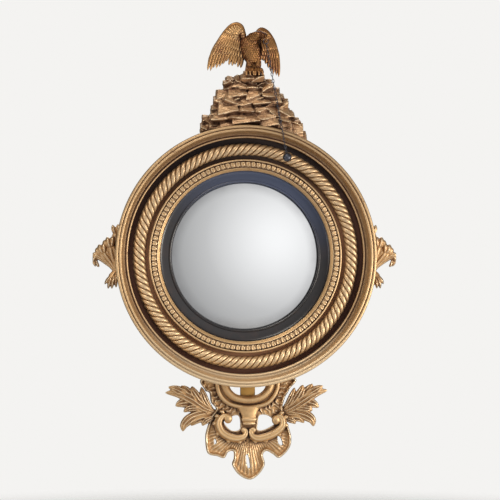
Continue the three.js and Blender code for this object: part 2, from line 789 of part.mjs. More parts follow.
function apronUpperScroll() {
  const depth = APRON_FRONT + 1;
  const collar = bar(
    [[10, depth, -46], [10, depth + 2, -62], [10, depth + 4, -80], [10, depth, -98]].map(onApron),
    (share) => [26 - 12 * Math.sin(Math.PI * share), 8 + 3 * Math.sin(2 * Math.PI * share)],
    6,
    10,
  );
  const made = join([
    uScroll(-46, 62, -33, depth + 3, SCROLL_RADIUS, 10),
    uScroll(-61, 78, -46, depth, SCROLL_RADIUS, 9),
    collar,
  ]);
  return part("apron_upper_scroll", made.intersect(scrollSpace()).subtract(frameSpace()), GILT);
}

const KNOB_RADIUS = 10.5; // at a lower scroll's upper end
const VOLUTE_RADIUS = 6.5; // at its inner end
const LOWER_SCROLLS = {
  apron_scroll_left: [
    [-42, -72], [-56, -74], [-63, -92], [-54, -112], [-36, -123], [-18, -125], [-3, -119], [-1, -108],
  ],
  apron_scroll_right: [
    [77, -78], [89, -80], [88, -96], [73, -113], [52, -123], [35, -125], [22, -119], [21, -108],
  ],
};

function lowerScroll([name, points]) {
  const depth = APRON_FRONT + 2;
  const run = bar(
    points.map(([x, height]) => onApron([x, depth, height])),
    (share) => [5 + 3.5 * Math.sin(Math.PI * share), 8 + 3 * Math.sin(Math.PI * share)],
    10,
    6,
  );
  const knobs = [points[0], points[points.length - 1]].map(([x, height], i) => {
    const knob = new THREE.IcosahedronGeometry(i ? VOLUTE_RADIUS : KNOB_RADIUS, 1);
    knob.translate(...onApron([x, depth + 2, height]));
    return knob;
  });
  return part(name, join([run, ...knobs]).intersect(scrollSpace()), GILT);
}

const APRON_LEAVES = {
  apron_leaf_left: {
    outline: [
      [-60, -66], [-90, -49], [-96, -31], [-98, -10], [-102, 3], [-117, 3], [-121, -9], [-130, -8], [-136, 3],
      [-150, 5], [-168, 1], [-197, -14], [-186, -22], [-168, -30], [-169, -44], [-150, -51], [-127, -59],
      [-150, -70], [-149, -90], [-151, -109], [-135, -99], [-119, -92], [-107, -89], [-102, -97], [-87, -81],
      [-60, -78],
    ],
    rib: [[-66, -72], [-104, -58], [-138, -32], [-184, -16]],
  },
  apron_leaf_right: {
    outline: [
      [84, -62], [99, -48], [113, -37], [119, -19], [123, 3], [141, 2], [145, -5], [153, 7], [165, 12],
      [179, 6], [193, -3], [207, -3], [202, -14], [185, -19], [181, -31], [182, -44], [165, -50], [146, -54],
      [165, -61], [166, -75], [170, -87], [169, -98], [158, -94], [133, -81], [124, -86], [114, -77], [84, -74],
    ],
    rib: [[90, -66], [124, -54], [150, -26], [194, -6]],
  },
};

function apronLeaf([name, { outline: edge, rib }]) {
  const shape = outline(edge.map(([x, height]) => [x, height - RIM_RADIUS]));
  const blade = slab(shape, APRON_BACK, LEAF_THICKNESS, 2.5);
  const spine = bar(
    rib.map(([x, height], i) => onApron([x, APRON_BACK + LEAF_THICKNESS + i, height])),
    round(5.5, 2),
    6,
    6,
  );
  return part(name, join([blade, spine]).subtract(apronShellSpace()).subtract(frameSpace()), GILT);
}

// ---------- The hangers ----------

function hangerPlace(side) {
  const middle = (BOARD_REBATE_RADIUS + CARCASE_RADIUS) / 2 - 7;
  return [side * middle * Math.sin(HANGER_ANGLE), middle * Math.cos(HANGER_ANGLE)];
}

const KNUCKLE_DEPTH = HANGER_RECESS[2] - HANGER_PLATE[2] - KNUCKLE_RADIUS;

function hangerPlate(side) {
  const [x, z] = hangerPlace(side);
  const [width, height, thickness] = HANGER_PLATE;
  const plate = box(width, thickness, height, x, HANGER_RECESS[2] - GAP - thickness, z);
  const knuckle = new THREE.CylinderGeometry(KNUCKLE_RADIUS, KNUCKLE_RADIUS, KNUCKLE_LENGTH, 12);
  knuckle.rotateZ(Math.PI / 2);
  knuckle.translate(x, -KNUCKLE_DEPTH, z);
  const bore = new THREE.CylinderGeometry(KNUCKLE_BORE, KNUCKLE_BORE, KNUCKLE_LENGTH + 2, 12);
  bore.rotateZ(Math.PI / 2);
  bore.translate(x, -KNUCKLE_DEPTH, z);
  const made = join([plate, knuckle]).subtract(solid(bore));
  return part(side < 0 ? "hanger_plate_left" : "hanger_plate_right", made, BRASS);
}

// A D-ring whose straight side runs through the knuckle.
function hangerRing(side) {
  const [x, z] = hangerPlace(side);
  const [width, length] = HANGER_LOOP;
  const path = [[-width / 2, 0], [width / 2, 0]];
  const steps = 8;
  for (let i = 1; i < steps; i++) {
    const turn = (Math.PI * i) / steps;
    path.push([(width / 2) * Math.cos(turn), -length * Math.sin(turn) ** 0.8]);
  }
  const rings = path.map(([a, b], i) => {
    const before = path[(i + path.length - 1) % path.length];
    const after = path[(i + 1) % path.length];
    const along = new THREE.Vector2(after[0] - before[0], after[1] - before[1]).normalize();
    const ring = [];
    for (let j = 0; j < 8; j++) {
      const spin = (2 * Math.PI * (j + 0.5)) / 8;
      const out = HANGER_WIRE * Math.cos(spin);
      const depth = KNUCKLE_DEPTH - HANGER_WIRE * Math.sin(spin);
      ring.push(new THREE.Vector3(x + a + along.y * out, -depth, z + b - along.x * out));
    }
    return ring;
  });
  return part(side < 0 ? "hanger_ring_left" : "hanger_ring_right", loft(rings, true), BRASS);
}

// ---------- Assembly ----------

const mirror = new THREE.Group();
mirror.add(frameCarcase(), outerMoulding(), ropeTwist(), innerMoulding(), slip(), mirrorPlate(), backBoard());
for (let i = 0; i < BLOCK_COUNT; i++) mirror.add(glazingBlock(i));
mirror.add(crestBatten(), rockCrest(), eagleBody(), ...Object.entries(WINGS).map(wing));

const pendulum = new THREE.Group();
pendulum.position.set(...RING_CENTRE);
pendulum.rotation.y = -CHAIN_LEAN;
pendulum.add(chain(), ball());
mirror.add(beakRing(), pendulum);

mirror.add(apronStrap(), apronShell(), apronUpperScroll());
mirror.add(...Object.entries(LOWER_SCROLLS).map(lowerScroll), ...Object.entries(APRON_LEAVES).map(apronLeaf));
for (const side of [-1, 1]) mirror.add(sideLeaf(side), hangerPlate(side), hangerRing(side));

export default mirror;
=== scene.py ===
import math
import random

import bmesh
import bpy
import numpy as np
from mathutils import Matrix, Vector, noise
from mathutils.bvhtree import BVHTree


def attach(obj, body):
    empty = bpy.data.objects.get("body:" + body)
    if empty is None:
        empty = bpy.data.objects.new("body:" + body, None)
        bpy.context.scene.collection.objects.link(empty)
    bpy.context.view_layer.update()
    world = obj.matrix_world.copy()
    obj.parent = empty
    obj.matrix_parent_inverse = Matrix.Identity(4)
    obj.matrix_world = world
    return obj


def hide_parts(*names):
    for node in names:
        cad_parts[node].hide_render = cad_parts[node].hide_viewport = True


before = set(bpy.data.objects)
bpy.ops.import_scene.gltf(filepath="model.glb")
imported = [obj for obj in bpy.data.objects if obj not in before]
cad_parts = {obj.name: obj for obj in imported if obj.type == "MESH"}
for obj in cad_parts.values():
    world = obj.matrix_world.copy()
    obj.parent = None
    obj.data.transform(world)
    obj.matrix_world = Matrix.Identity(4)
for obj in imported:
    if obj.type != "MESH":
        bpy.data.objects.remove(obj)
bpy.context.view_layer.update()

bl_info = {
    "name": "Convex mirror with eagle crest",
    "version": (1, 0, 0),
    "blender": (4, 5, 0),
    "location": "View3D > Sidebar > Mirror",
    "description": "Round carved and gilt mirror with rockwork, an eagle, a ball on a chain and an apron",
    "category": "Add Mesh",
}

MM = 0.001
FRONT = Vector((0.0, -1.0, 0.0))
BACK = -FRONT
# The round frame's sizes, in millimetres as everything below that isn't said to be in metres.
RIM = 320
CARCASE_RADIUS = 306
CARCASE_DEPTH = 42
CLEARANCE = 0.4
OFF_WALL = 0.3
WIDEST = 372.6  # how far the side leaves reach from the middle


# ---------- Sizes and colours ----------


class MirrorSizes(bpy.types.PropertyGroup):
    """Counts and depths of the carving."""

    ring_steps: bpy.props.IntProperty(
        name="Ring steps", description="Faces round each turned moulding", default=240, min=48
    )
    rope_strands: bpy.props.IntProperty(
        name="Rope strands",
        description="Strands that cross the rope's face, round the ring",
        default=108,
        min=24,
    )
    rope_groove: bpy.props.FloatProperty(
        name="Rope groove", description="Depth of the cuts between strands", default=0.0036, unit="LENGTH"
    )
    band_leaves: bpy.props.IntProperty(
        name="Band leaves", description="Small leaves carved round the inner moulding", default=112, min=24
    )
    band_relief: bpy.props.FloatProperty(
        name="Band relief", description="Height of the small leaves", default=0.0023, unit="LENGTH"
    )
    shell_ribs: bpy.props.IntProperty(
        name="Shell ribs", description="Ribs round a full turn of the apron's shell", default=78, min=12
    )
    shell_rib_height: bpy.props.FloatProperty(
        name="Rib height", description="Height of the shell's ribs", default=0.0008, unit="LENGTH"
    )
    shell_rim_height: bpy.props.FloatProperty(
        name="Rim height", description="Height of the shell's raised edge", default=0.0050, unit="LENGTH"
    )
    rock_voxel: bpy.props.FloatProperty(
        name="Rock grain",
        description="Fineness at which the rockwork is fused",
        default=0.00122,
        unit="LENGTH",
    )
    shell_voxel: bpy.props.FloatProperty(
        name="Shell grain", description="Fineness at which the shell is fused", default=0.0014, unit="LENGTH"
    )
    carving_voxel: bpy.props.FloatProperty(
        name="Carving grain",
        description="Fineness at which joined carving is fused",
        default=0.0012,
        unit="LENGTH",
    )
    chance: bpy.props.IntProperty(
        name="Chance", description="Seed of the small differences between rocks and feathers", default=7
    )


def linear(hexadecimal):
    """A colour written as sRGB hex, made linear."""
    channels = [int(hexadecimal[i : i + 2], 16) / 255 for i in (1, 3, 5)]
    return tuple(c / 12.92 if c <= 0.04045 else ((c + 0.055) / 1.055) ** 2.4 for c in channels) + (1.0,)


def colour_property(name, description, hexadecimal):
    """A colour in the panel, its default written as sRGB hex."""
    return bpy.props.FloatVectorProperty(
        name=name,
        description=description,
        subtype="COLOR",
        size=4,
        min=0.0,
        max=1.0,
        default=linear(hexadecimal),
    )


class MirrorColours(bpy.types.PropertyGroup):
    """Colours of the finishes."""

    leaf: colour_property("Gold leaf", "Gold where it is whole", "#DAB584")
    # Partly real wear and partly painted highlight on edges; low down it is also used for painted light.
    rubbed: colour_property("Rubbed gold", "Thin, pale gold on edges that hands and dusters reach", "#F3DEBC")
    bole: colour_property("Bole", "Red clay that shows where the gold has worn through", "#7E472C")
    # Painted shade: this brown darkens the top of the gilding.
    top_shade: colour_property("Smoke", "Brown film over the top of the round frame", "#5A3418")
    # Partly real dirt and partly painted shade: this colour darkens the hollows of the gilding.
    grime_and_shade: colour_property("Grime", "Old dirt and toning in the hollows", "#2E1A10")
    apron_leaf: colour_property("Carved gold", "Gold on the leaves and the shell", "#CBA475")
    rock_leaf: colour_property("Rock gold", "Paler, dustier gold on the rockwork", "#D2AD85")
    rock_rubbed: colour_property("Rubbed rock", "Gold rubbed pale on the rocks' edges", "#E4CFAC")
    body_leaf: colour_property("Body gold", "Brown gold of the eagle's body, in its own shade", "#5F3C22")
    body_rubbed: colour_property("Rubbed body", "Edges of the body's feathers", "#94693D")
    # Painted shade: the right wing's browner gold is a shaded copy of the eagle's gold.
    right_wing_leaf: colour_property("Right wing gold", "Brown, handled gold of the right wing", "#754C2A")
    right_wing_rubbed: colour_property("Rubbed right wing", "Edges of the right wing's feathers", "#AD8150")
    left_wing_leaf: colour_property(
        "Left wing gold", "Gold of the left wing, which gets more light", "#98693A"
    )
    left_wing_rubbed: colour_property("Rubbed left wing", "Edges of the left wing's feathers", "#D2A874")
    strap_leaf: colour_property("Strap gold", "Plain, darker gold of the apron's strap", "#B07E38")
    strap_rubbed: colour_property("Rubbed strap", "Edges of the strap", "#CDA15C")
    # Colour of the hollow's face; towards the top the material darkens it further with painted shade.
    ground: colour_property("Hollow", "Dark red-brown toning in the hollow beside the rope", "#5A3524")
    ebonised: colour_property("Ebonised", "Black stained and polished slip", "#1A1517")
    # Painted sheen: this bluish colour stands in for a reflection at the top of the slip.
    painted_sheen: colour_property("Bloom", "Bluish bloom in the slip's polish", "#3D465F")
    silver: colour_property("Silvering", "Silvered plate", "#F0F1F2")
    iron: colour_property("Iron", "Chain and ball", "#575962")
    brass: colour_property("Brass", "Hangers and their screws", "#A88347")
    pine: colour_property("Pine", "Bare pine seen from behind", "#A37C4E")
    floor: colour_property("Floor", "Studio floor and backdrop", "#E9E8E6")


# ---------- Shape tools ----------


def at(x, depth, z):
    """A place given in millimetres: across, in front of the wall, and up from the round frame's middle."""
    return Vector((x, -depth, z)) * MM


def on_rim_top(x, depth, height):
    """A place whose height is counted from the top of the round frame."""
    return at(x, depth, RIM + height)


def on_rim_bottom(x, depth, height):
    """A place whose height is counted from the bottom of the round frame."""
    return at(x, depth, height - RIM)


def above_rim(*places):
    """Places whose heights are counted from the top of the round frame."""
    return [on_rim_top(*place) for place in places]


def below_rim(*places):
    """Places whose heights are counted from the bottom of the round frame."""
    return [on_rim_bottom(*place) for place in places]


def curved(a, b, c, d, t):
    """The point a share t of the way from b to c, on a smooth curve that comes from a and goes on to d."""
    return 0.5 * (2 * b + (c - a) * t + (2 * a - 5 * b + 4 * c - d) * t**2 + (3 * b - a - 3 * c + d) * t**3)


def run_through(points):
    """A smooth run through the points, as a function of a share from 0 to 1."""
    points = [Vector(p) for p in points]
    ends = [points[0] * 2 - points[1], *points, points[-1] * 2 - points[-2]]
    spans = len(points) - 1

    def place(share):
        reach = min(max(share, 0.0), 1.0) * spans
        i = min(int(reach), spans - 1)
        return curved(*ends[i : i + 4], reach - i)

    return place


def run_round(points):
    """The same through a closed loop of points, as a function of the count of points passed."""
    points = [Vector(p) for p in points]

    def place(passed):
        i = int(passed)
        return curved(*(points[(i + k) % len(points)] for k in (-1, 0, 1, 2)), passed - i)

    return place


def directions(run, share, facing):
    """Where the run is, and the directions across it and out of it towards the facing side."""
    step = 0.01
    along = run(min(share + step, 1)) - run(max(share - step, 0))
    across = facing.cross(along).normalized()
    return run(share), across, along.cross(across).normalized()


def skin(bm, along, around, place):
    """A grid of faces put where place(u, v) says. Edges and ends that meet are joined."""
    verts = bmesh.ops.create_grid(bm, x_segments=along, y_segments=around, size=1.0)["verts"]
    for vert in verts:
        vert.co = place(round((vert.co.x + 1) / 2, 6), round((vert.co.y + 1) / 2, 6))
    bmesh.ops.remove_doubles(bm, verts=verts, dist=2e-6)


def sweep(bm, points, section, steps, sides, cap=0.08):
    """A tapering bar with round ends. section(share, turn) gives its reach across and outwards, in metres."""
    run = run_through(points)

    def place(u, v):
        middle, across, out = directions(run, u, FRONT)
        turn = 2 * math.pi * v
        wide, deep = section(u, turn)
        near = min(u, 1 - u)
        close = math.sqrt(max(0.0, 1 - (1 - near / cap) ** 2)) if near < cap else 1.0
        return middle + across * (wide * close * math.cos(turn)) + out * (deep * close * math.sin(turn))

    skin(bm, steps, sides, place)


def round_bar(start, end):
    """The section of a round bar that tapers from one radius to another, in millimetres."""

    def section(share, turn):
        radius = (start + (end - start) * share) * MM
        return radius, radius

    return section


def oval_bar(start, end):
    """The section of a tapering oval bar, given as half its width and depth at each end in millimetres."""

    def section(share, turn):
        return [(first + (last - first) * share) * MM for first, last in zip(start, end)]

    return section


def blade(bm, points, width, crown, thickness, steps, sides, facing=FRONT, vein=0.0):
    """A feather along the points, crowned in front, hollow behind. width(share) is half its width in mm."""
    run = run_through(points)

    def place(u, v):
        middle, across, out = directions(run, u, facing)
        half = width(u) * MM
        front = v <= 0.5
        side = 1 - 4 * v if front else 4 * v - 3
        swell = 1 - side * side
        height = crown * half * swell + 0.5 * thickness * MM * swell**0.3
        if front:
            height += vein * MM * math.exp(-((side / 0.14) ** 2)) * min(1.0, 3 * u, 3 * (1 - u))
        else:
            height = crown * half * swell * 0.6 - 0.5 * thickness * MM * swell**0.3
        return middle + across * (half * side) + out * height

    skin(bm, steps, sides, place)


def pointed(widest, peak=0.4):
    """Half the width of a small feather in mm: narrow at its root, widest at its peak, ending in a point."""

    def width(share):
        if share < peak:
            return widest * (0.45 + 0.55 * math.sin(0.5 * math.pi * share / peak))
        return widest * max(0.0, 1 - ((share - peak) / (1 - peak)) ** 2)

    return width


def feather_width(widest):
    """Half the width of a long feather in mm: it keeps its width and ends round."""

    def width(share):
        root = min(1.0, 0.35 + 2.2 * share)
        tip = math.sqrt(max(0.0, 1 - ((share - 0.72) / 0.28) ** 2)) if share > 0.72 else 1.0
        return widest * root * tip

    return width


def lobe(bm, points, half, deep, flutes, groove, steps=26, sides=30, root=0.5, peak=0.55):
    """A finger of an acanthus leaf: a round-edged bar, fluted along its front, that ends in a blunt point."""
    run = run_through(points)

    def place(u, v):
        middle, across, out = directions(run, u, FRONT)
        if u < peak:
            width = root + (1 - root) * math.sin(0.5 * math.pi * u / peak)
        else:
            width = max(0.0, 1 - ((u - peak) / (1 - peak)) ** 1.7) ** 0.72
        if u < 0.04:
            width *= math.sqrt(max(0.0, 1 - (1 - u / 0.04) ** 2))
        side, front = math.cos(2 * math.pi * v), math.sin(2 * math.pi * v)
        height = deep * width**0.7 * front
        if front > 0:
            ends = min(1.0, 5 * u, 4 * (1 - u))
            height += groove * math.cos(math.pi * flutes * side) * front * ends * width
        return middle + across * (half * width * side * MM) + out * (height * MM)

    skin(bm, steps, sides, place)


def turned_ring(bm, profile, steps):
    """Spins a closed profile of [radius, depth] round the mirror's axis."""
    verts = [bm.verts.new(at(radius, depth, 0)) for radius, depth in profile]
    edges = [bm.edges.new((verts[i - 1], vert)) for i, vert in enumerate(verts)]
    bmesh.ops.spin(
        bm,
        geom=verts + edges,
        cent=(0, 0, 0),
        axis=(0, 1, 0),
        dvec=(0, 0, 0),
        angle=2 * math.pi,
        steps=steps,
        use_merge=True,
        use_duplicate=False,
    )
    bmesh.ops.remove_doubles(bm, verts=bm.verts, dist=1e-7)


def moulded(points, steps=5):
    """A moulding's profile: the run between two corners is a smooth curve, and a corner is written twice."""
    profile, span = [], []
    for point in [*points, None]:
        if point is None or (span and tuple(point) == tuple(span[-1])):
            if len(span) > 2:
                run = run_through([(radius, depth, 0) for radius, depth in span])
                count = steps * (len(span) - 1)
                profile += [tuple(run(i / count))[:2] for i in range(count + 1)]
            else:
                profile += [tuple(p) for p in span]
            span = [point] if point is not None else []
        else:
            span.append(point)
    clean = []
    for point in profile:
        if not clean or math.dist(point, clean[-1]) > 0.02:
            clean.append(point)
    return clean


def slab(bm, edge, holes, back, front):
    """A flat board cut to an edge with holes, points given across and up in millimetres."""
    edges = []
    for loop in [edge, *holes]:
        verts = [bm.verts.new(at(x, back, z)) for x, z in loop]
        edges += [bm.edges.new((verts[i - 1], vert)) for i, vert in enumerate(verts)]
    made = bmesh.ops.triangle_fill(bm, use_beauty=True, use_dissolve=False, edges=edges)
    faces = [item for item in made["geom"] if isinstance(item, bmesh.types.BMFace)]
    raised = bmesh.ops.extrude_face_region(bm, geom=faces)["geom"]
    verts = [item for item in raised if isinstance(item, bmesh.types.BMVert)]
    bmesh.ops.translate(bm, verts=verts, vec=(0, -(front - back) * MM, 0))


def block(bm, low, high, soften):
    """A block between two corners, its edges softened by so many millimetres."""
    verts = bmesh.ops.create_cube(bm, size=1.0)["verts"]
    size = high - low
    bmesh.ops.scale(bm, verts=verts, vec=(abs(size.x), abs(size.y), abs(size.z)))
    bmesh.ops.translate(bm, verts=verts, vec=(low + high) / 2)
    edges = list({edge for vert in verts for edge in vert.link_edges})
    bmesh.ops.bevel(bm, geom=edges, offset=soften * MM, affect="EDGES", segments=3, profile=0.5, material=-1)


def ball_at(bm, middle, radius, squash, steps):
    """A ball or an egg, its radius in millimetres before it is squashed."""
    rows = max(6, steps // 2 + 2)
    verts = bmesh.ops.create_uvsphere(bm, u_segments=steps, v_segments=rows, radius=radius * MM)["verts"]
    bmesh.ops.scale(bm, verts=verts, vec=squash)
    bmesh.ops.translate(bm, verts=verts, vec=middle)


def wire_loop(bm, path, radius, steps, sides, facing=FRONT):
    """A closed wire ring: path(turn) gives its centre line."""

    def place(u, v):
        turn = 2 * math.pi * u
        middle = path(turn)
        along = path(turn + 0.01) - path(turn - 0.01)
        across = facing.cross(along).normalized()
        out = along.cross(across).normalized()
        spin = 2 * math.pi * v
        return middle + (across * math.cos(spin) + out * math.sin(spin)) * radius * MM

    skin(bm, steps, sides, place)


def oval(middle, half_width, half_length, axis_wide, axis_long):
    """The centre line of an oval wire: a function of the turn."""

    def path(turn):
        bulge = math.copysign(abs(math.sin(turn)) ** 0.8, math.sin(turn))
        aside = axis_wide * (half_width * MM * math.cos(turn))
        return middle + aside + axis_long * (half_length * MM * bulge)

    return path


def screw(bm, middle, radius, slot_turn):
    """A screw's domed head on the back, its lower half sunk, with a thin bar that reads as its slot."""
    head = bmesh.ops.create_uvsphere(bm, u_segments=16, v_segments=8, radius=radius * MM)["verts"]
    bmesh.ops.scale(bm, verts=head, vec=(1, 1, 0.35))
    slot = bmesh.ops.create_cube(bm, size=1.0)["verts"]
    bmesh.ops.scale(bm, verts=slot, vec=(1.7 * radius * MM, 0.28 * radius * MM, 0.1 * radius * MM))
    bmesh.ops.rotate(bm, verts=slot, cent=(0, 0, 0), matrix=Matrix.Rotation(slot_turn, 3, "Z"))
    bmesh.ops.translate(bm, verts=slot, vec=(0, 0, 0.33 * radius * MM))
    backwards = BACK.to_track_quat("Z", "Y").to_matrix()
    bmesh.ops.rotate(bm, verts=head + slot, cent=(0, 0, 0), matrix=backwards)
    bmesh.ops.translate(bm, verts=head + slot, vec=middle)


def finished(name, bm, material, body, nodes, keen=60):
    """The bmesh as a named piece that rides on its body and stands for its CAD nodes."""
    bmesh.ops.recalc_face_normals(bm, faces=bm.faces)
    mesh = bpy.data.meshes.new(name)
    bm.to_mesh(mesh)
    bm.free()
    mesh.materials.append(material)
    piece = bpy.data.objects.new(name, mesh)
    bpy.context.scene.collection.objects.link(piece)
    mesh.shade_smooth()
    mesh.set_sharp_from_angle(angle=math.radians(keen))
    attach(piece, body)
    if nodes:
        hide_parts(*nodes)


def joined(bm, other):
    """Puts a second bmesh into the first and frees it."""
    mesh = bpy.data.meshes.new("joined")
    other.to_mesh(mesh)
    other.free()
    bm.from_mesh(mesh)
    bpy.data.meshes.remove(mesh)


def gilded(bm, node, work, finish="leaf_gilding", keen=50):
    """A gilt piece of the frame that stands for one CAD node and is named after it and the work done."""
    finished(f"{node}_{work}", bm, finish_named(finish), "frame", [node], keen)


def fused(bm, voxel, smoothing):
    """The overlapping solids of a bmesh carved into one skin, as a new bmesh."""
    bmesh.ops.recalc_face_normals(bm, faces=bm.faces)
    mesh = bpy.data.meshes.new("carving")
    bm.to_mesh(mesh)
    bm.free()
    rough = bpy.data.objects.new("carving", mesh)
    bpy.context.scene.collection.objects.link(rough)
    remesh = rough.modifiers.new("Remesh", "REMESH")
    remesh.mode = "VOXEL"
    remesh.voxel_size = voxel
    smooth = rough.modifiers.new("Smooth", "SMOOTH")
    smooth.factor = 0.5
    smooth.iterations = smoothing
    bpy.context.view_layer.update()
    made = bpy.data.meshes.new_from_object(rough.evaluated_get(bpy.context.evaluated_depsgraph_get()))
    carved = bmesh.new()
    carved.from_mesh(made)
    bpy.data.objects.remove(rough)
    bpy.data.meshes.remove(mesh)
    bpy.data.meshes.remove(made)
    return carved


# ---------- Materials ----------


def add(tree, kind, inputs=(), stops=(), **settings):
    """Adds a node. An input is a value, an output, or a node, which then gives its first output in use."""
    node = tree.nodes.new("ShaderNode" + kind)
    for name, value in settings.items():
        setattr(node, name, value)
    for name, value in dict(inputs).items():
        socket = next(s for i, s in enumerate(node.inputs) if s.enabled and name in (i, s.name))
        if isinstance(value, bpy.types.Node):
            value = next(s for s in value.outputs if s.enabled)
        if isinstance(value, bpy.types.NodeSocket):
            tree.links.new(value, socket)
        else:
            socket.default_value = value
    for i, (position, colour) in enumerate(stops):
        elements = node.color_ramp.elements
        element = elements[i] if i < 2 else elements.new(position)
        element.position = position
        element.color = colour if hasattr(colour, "__len__") else (colour, colour, colour, 1.0)
    return node


def new_material(name):
    """An empty node material and its tree."""
    material = bpy.data.materials.new(name)
    material.use_nodes = True
    material.node_tree.nodes.clear()
    return material, material.node_tree


def surface(tree, shader):
    """Ends a material's tree."""
    add(tree, "OutputMaterial", {"Surface": shader})


def distance_across(tree, place, across, along):
    """How far a place is from the object's origin in the plane of two axes."""
    apart = add(tree, "SeparateXYZ", {"Vector": place})
    flat = add(tree, "CombineXYZ", {across: apart.outputs[across], along: apart.outputs[along]})
    return add(tree, "VectorMath", {0: flat}, operation="LENGTH")


def water_gilding(
    name, leaf, rubbed, colours, wear, chisel_mm, chisel_depth, hollow_mm, toned, top_shading, bottom_lighting
):
    """Gold leaf laid on red clay bole over gesso, then toned with size and rubbed for two centuries.

    The eye gets a soft, broken shine: whole leaf on the fields, paler rubbed edges that are partly wear and
    partly painted highlight, red-brown where the clay shows, and near-black dirt and painted shade where a
    cloth can't reach. Hollows within hollow_mm of their walls are darkened by dirt and painted shade, the top
    can be given brown painted shade, and the bottom paler painted light.
    """
    material, tree = new_material(name)
    place = add(tree, "TexCoord").outputs["Object"]
    patches = add(
        tree, "TexNoise", {"Vector": place, "Scale": 1 / (30 * MM), "Detail": 5.0, "Roughness": 0.62}
    )
    # Leaf wears off in flecks of about a millimetre and a half.
    flecks = add(
        tree, "TexNoise", {"Vector": place, "Scale": 1 / (3.2 * MM), "Detail": 3.0, "Roughness": 0.7}
    )
    cavity = add(tree, "AmbientOcclusion", {"Distance": hollow_mm * MM}, samples=8)
    edges = add(tree, "NewGeometry").outputs["Pointiness"]
    # Hollows: dirt and painted shade where little light gets in, broken up by the patches.
    broken = add(tree, "Math", {0: patches, 1: 0.35}, operation="MULTIPLY")
    hollow = add(tree, "Math", {0: cavity.outputs["AO"], 1: broken}, operation="ADD")
    grime_and_shade = add(tree, "ValToRGB", {"Fac": hollow}, stops=[(toned, 1.0), (1.06, 0.0)])
    # Convex edges take the paler rubbed colour: partly real wear and partly painted highlight.
    raised = add(tree, "ValToRGB", {"Fac": edges}, stops=[(0.505, 0.0), (0.56, 1.0)])
    flecked = add(tree, "Math", {0: patches, 1: flecks}, operation="MULTIPLY")
    thin = add(tree, "Math", {0: flecked, 1: wear}, operation="MULTIPLY")
    bare = add(tree, "ValToRGB", {"Fac": thin}, stops=[(0.27, 0.0), (0.42, 1.0)])
    tone = add(tree, "Mix", {"Factor": raised, "A": leaf, "B": rubbed}, data_type="RGBA")
    clay = add(tree, "Mix", {"Factor": bare, "A": tone, "B": colours.bole}, data_type="RGBA")
    # Red bole in the hollows: partly worn gilding and partly painted shade.
    reddened = add(tree, "Math", {0: grime_and_shade, 1: 0.55}, operation="POWER", use_clamp=True)
    warm = add(tree, "Mix", {"Factor": reddened, "A": clay, "B": colours.bole}, data_type="RGBA")
    grimed_and_shaded = add(tree, "Mix", {"Factor": grime_and_shade, "A": warm, "B": colours.grime_and_shade}, data_type="RGBA")
    # Painted shade: towards the top the colour darkens to brown.
    height = add(tree, "SeparateXYZ", {"Vector": place}).outputs["Z"]
    top_shade = add(tree, "MapRange", {"Value": height, "From Min": 0.0, "From Max": RIM * MM, "To Max": top_shading})
    # Painted light: low down the gold is paled towards the rubbed colour.
    bottom_light = add(
        tree, "MapRange", {"Value": height, "From Min": -140 * MM, "From Max": -300 * MM, "To Max": bottom_lighting}
    )
    lit_low = add(tree, "Mix", {"Factor": bottom_light, "A": grimed_and_shaded, "B": rubbed}, data_type="RGBA")
    colour = add(tree, "Mix", {"Factor": top_shade, "A": lit_low, "B": colours.top_shade}, data_type="RGBA")
    dull = add(tree, "Math", {0: bare, 1: reddened}, operation="MAXIMUM")
    metal = add(tree, "MapRange", {"Value": dull, "To Min": 0.86, "To Max": 0.12})
    matt = add(tree, "MapRange", {"Value": flecks, "To Min": 0.40, "To Max": 0.68})
    rough = add(tree, "Mix", {"Factor": raised, "A": matt, "B": 0.34}, data_type="FLOAT")
    chisel = add(
        tree, "TexNoise", {"Vector": place, "Scale": 1 / (chisel_mm * MM), "Detail": 4.0, "Roughness": 0.55}
    )
    tooled = add(tree, "Bump", {"Height": chisel, "Strength": 1.0, "Distance": chisel_depth * MM})
    grain = add(tree, "Bump", {"Height": flecks, "Strength": 0.6, "Distance": 0.25 * MM, "Normal": tooled})
    shader = add(
        tree, "BsdfPrincipled", {"Base Color": colour, "Metallic": metal, "Roughness": rough, "Normal": grain}
    )
    surface(tree, shader)
    return material


def ebonised_wood(colours):
    """Pearwood stained black and polished: an even black, with a bluish sheen painted in towards the top
    right.
    """
    material, tree = new_material("ebonised_wood")
    place = add(tree, "TexCoord").outputs["Object"]
    streaks = add(
        tree, "TexNoise", {"Vector": place, "Scale": 1 / (22 * MM), "Detail": 6.0, "Roughness": 0.6}
    )
    rubs = add(tree, "TexNoise", {"Vector": place, "Scale": 1 / (1.8 * MM), "Detail": 2.0, "Roughness": 0.5})
    brown = add(tree, "ValToRGB", {"Fac": streaks}, stops=[(0.5, 0.0), (0.8, 0.55)])
    black = add(
        tree, "Mix", {"Factor": brown, "A": colours.ebonised, "B": linear("#3A2620")}, data_type="RGBA"
    )
    # A bluish sheen is painted into the polish, strongest at the top right: a painted reflection.
    leaning = add(tree, "VectorMath", {0: place, 1: (0.25, 0.0, 0.97)}, operation="DOT_PRODUCT")
    painted_sheen = add(
        tree,
        "MapRange",
        {"Value": leaning, "From Min": 20 * MM, "From Max": 190 * MM},
        interpolation_type="SMOOTHSTEP",
    )
    colour = add(tree, "Mix", {"Factor": painted_sheen, "A": black, "B": colours.painted_sheen}, data_type="RGBA")
    rough = add(tree, "MapRange", {"Value": streaks, "To Min": 0.26, "To Max": 0.46})
    bump = add(tree, "Bump", {"Height": rubs, "Strength": 0.35, "Distance": 0.12 * MM})
    shader = add(
        tree,
        "BsdfPrincipled",
        {
            "Base Color": colour, "Roughness": rough, "Coat Weight": 0.35, "Coat Roughness": 0.22,
            "Normal": bump,
        },
    )
    surface(tree, shader)
    return material


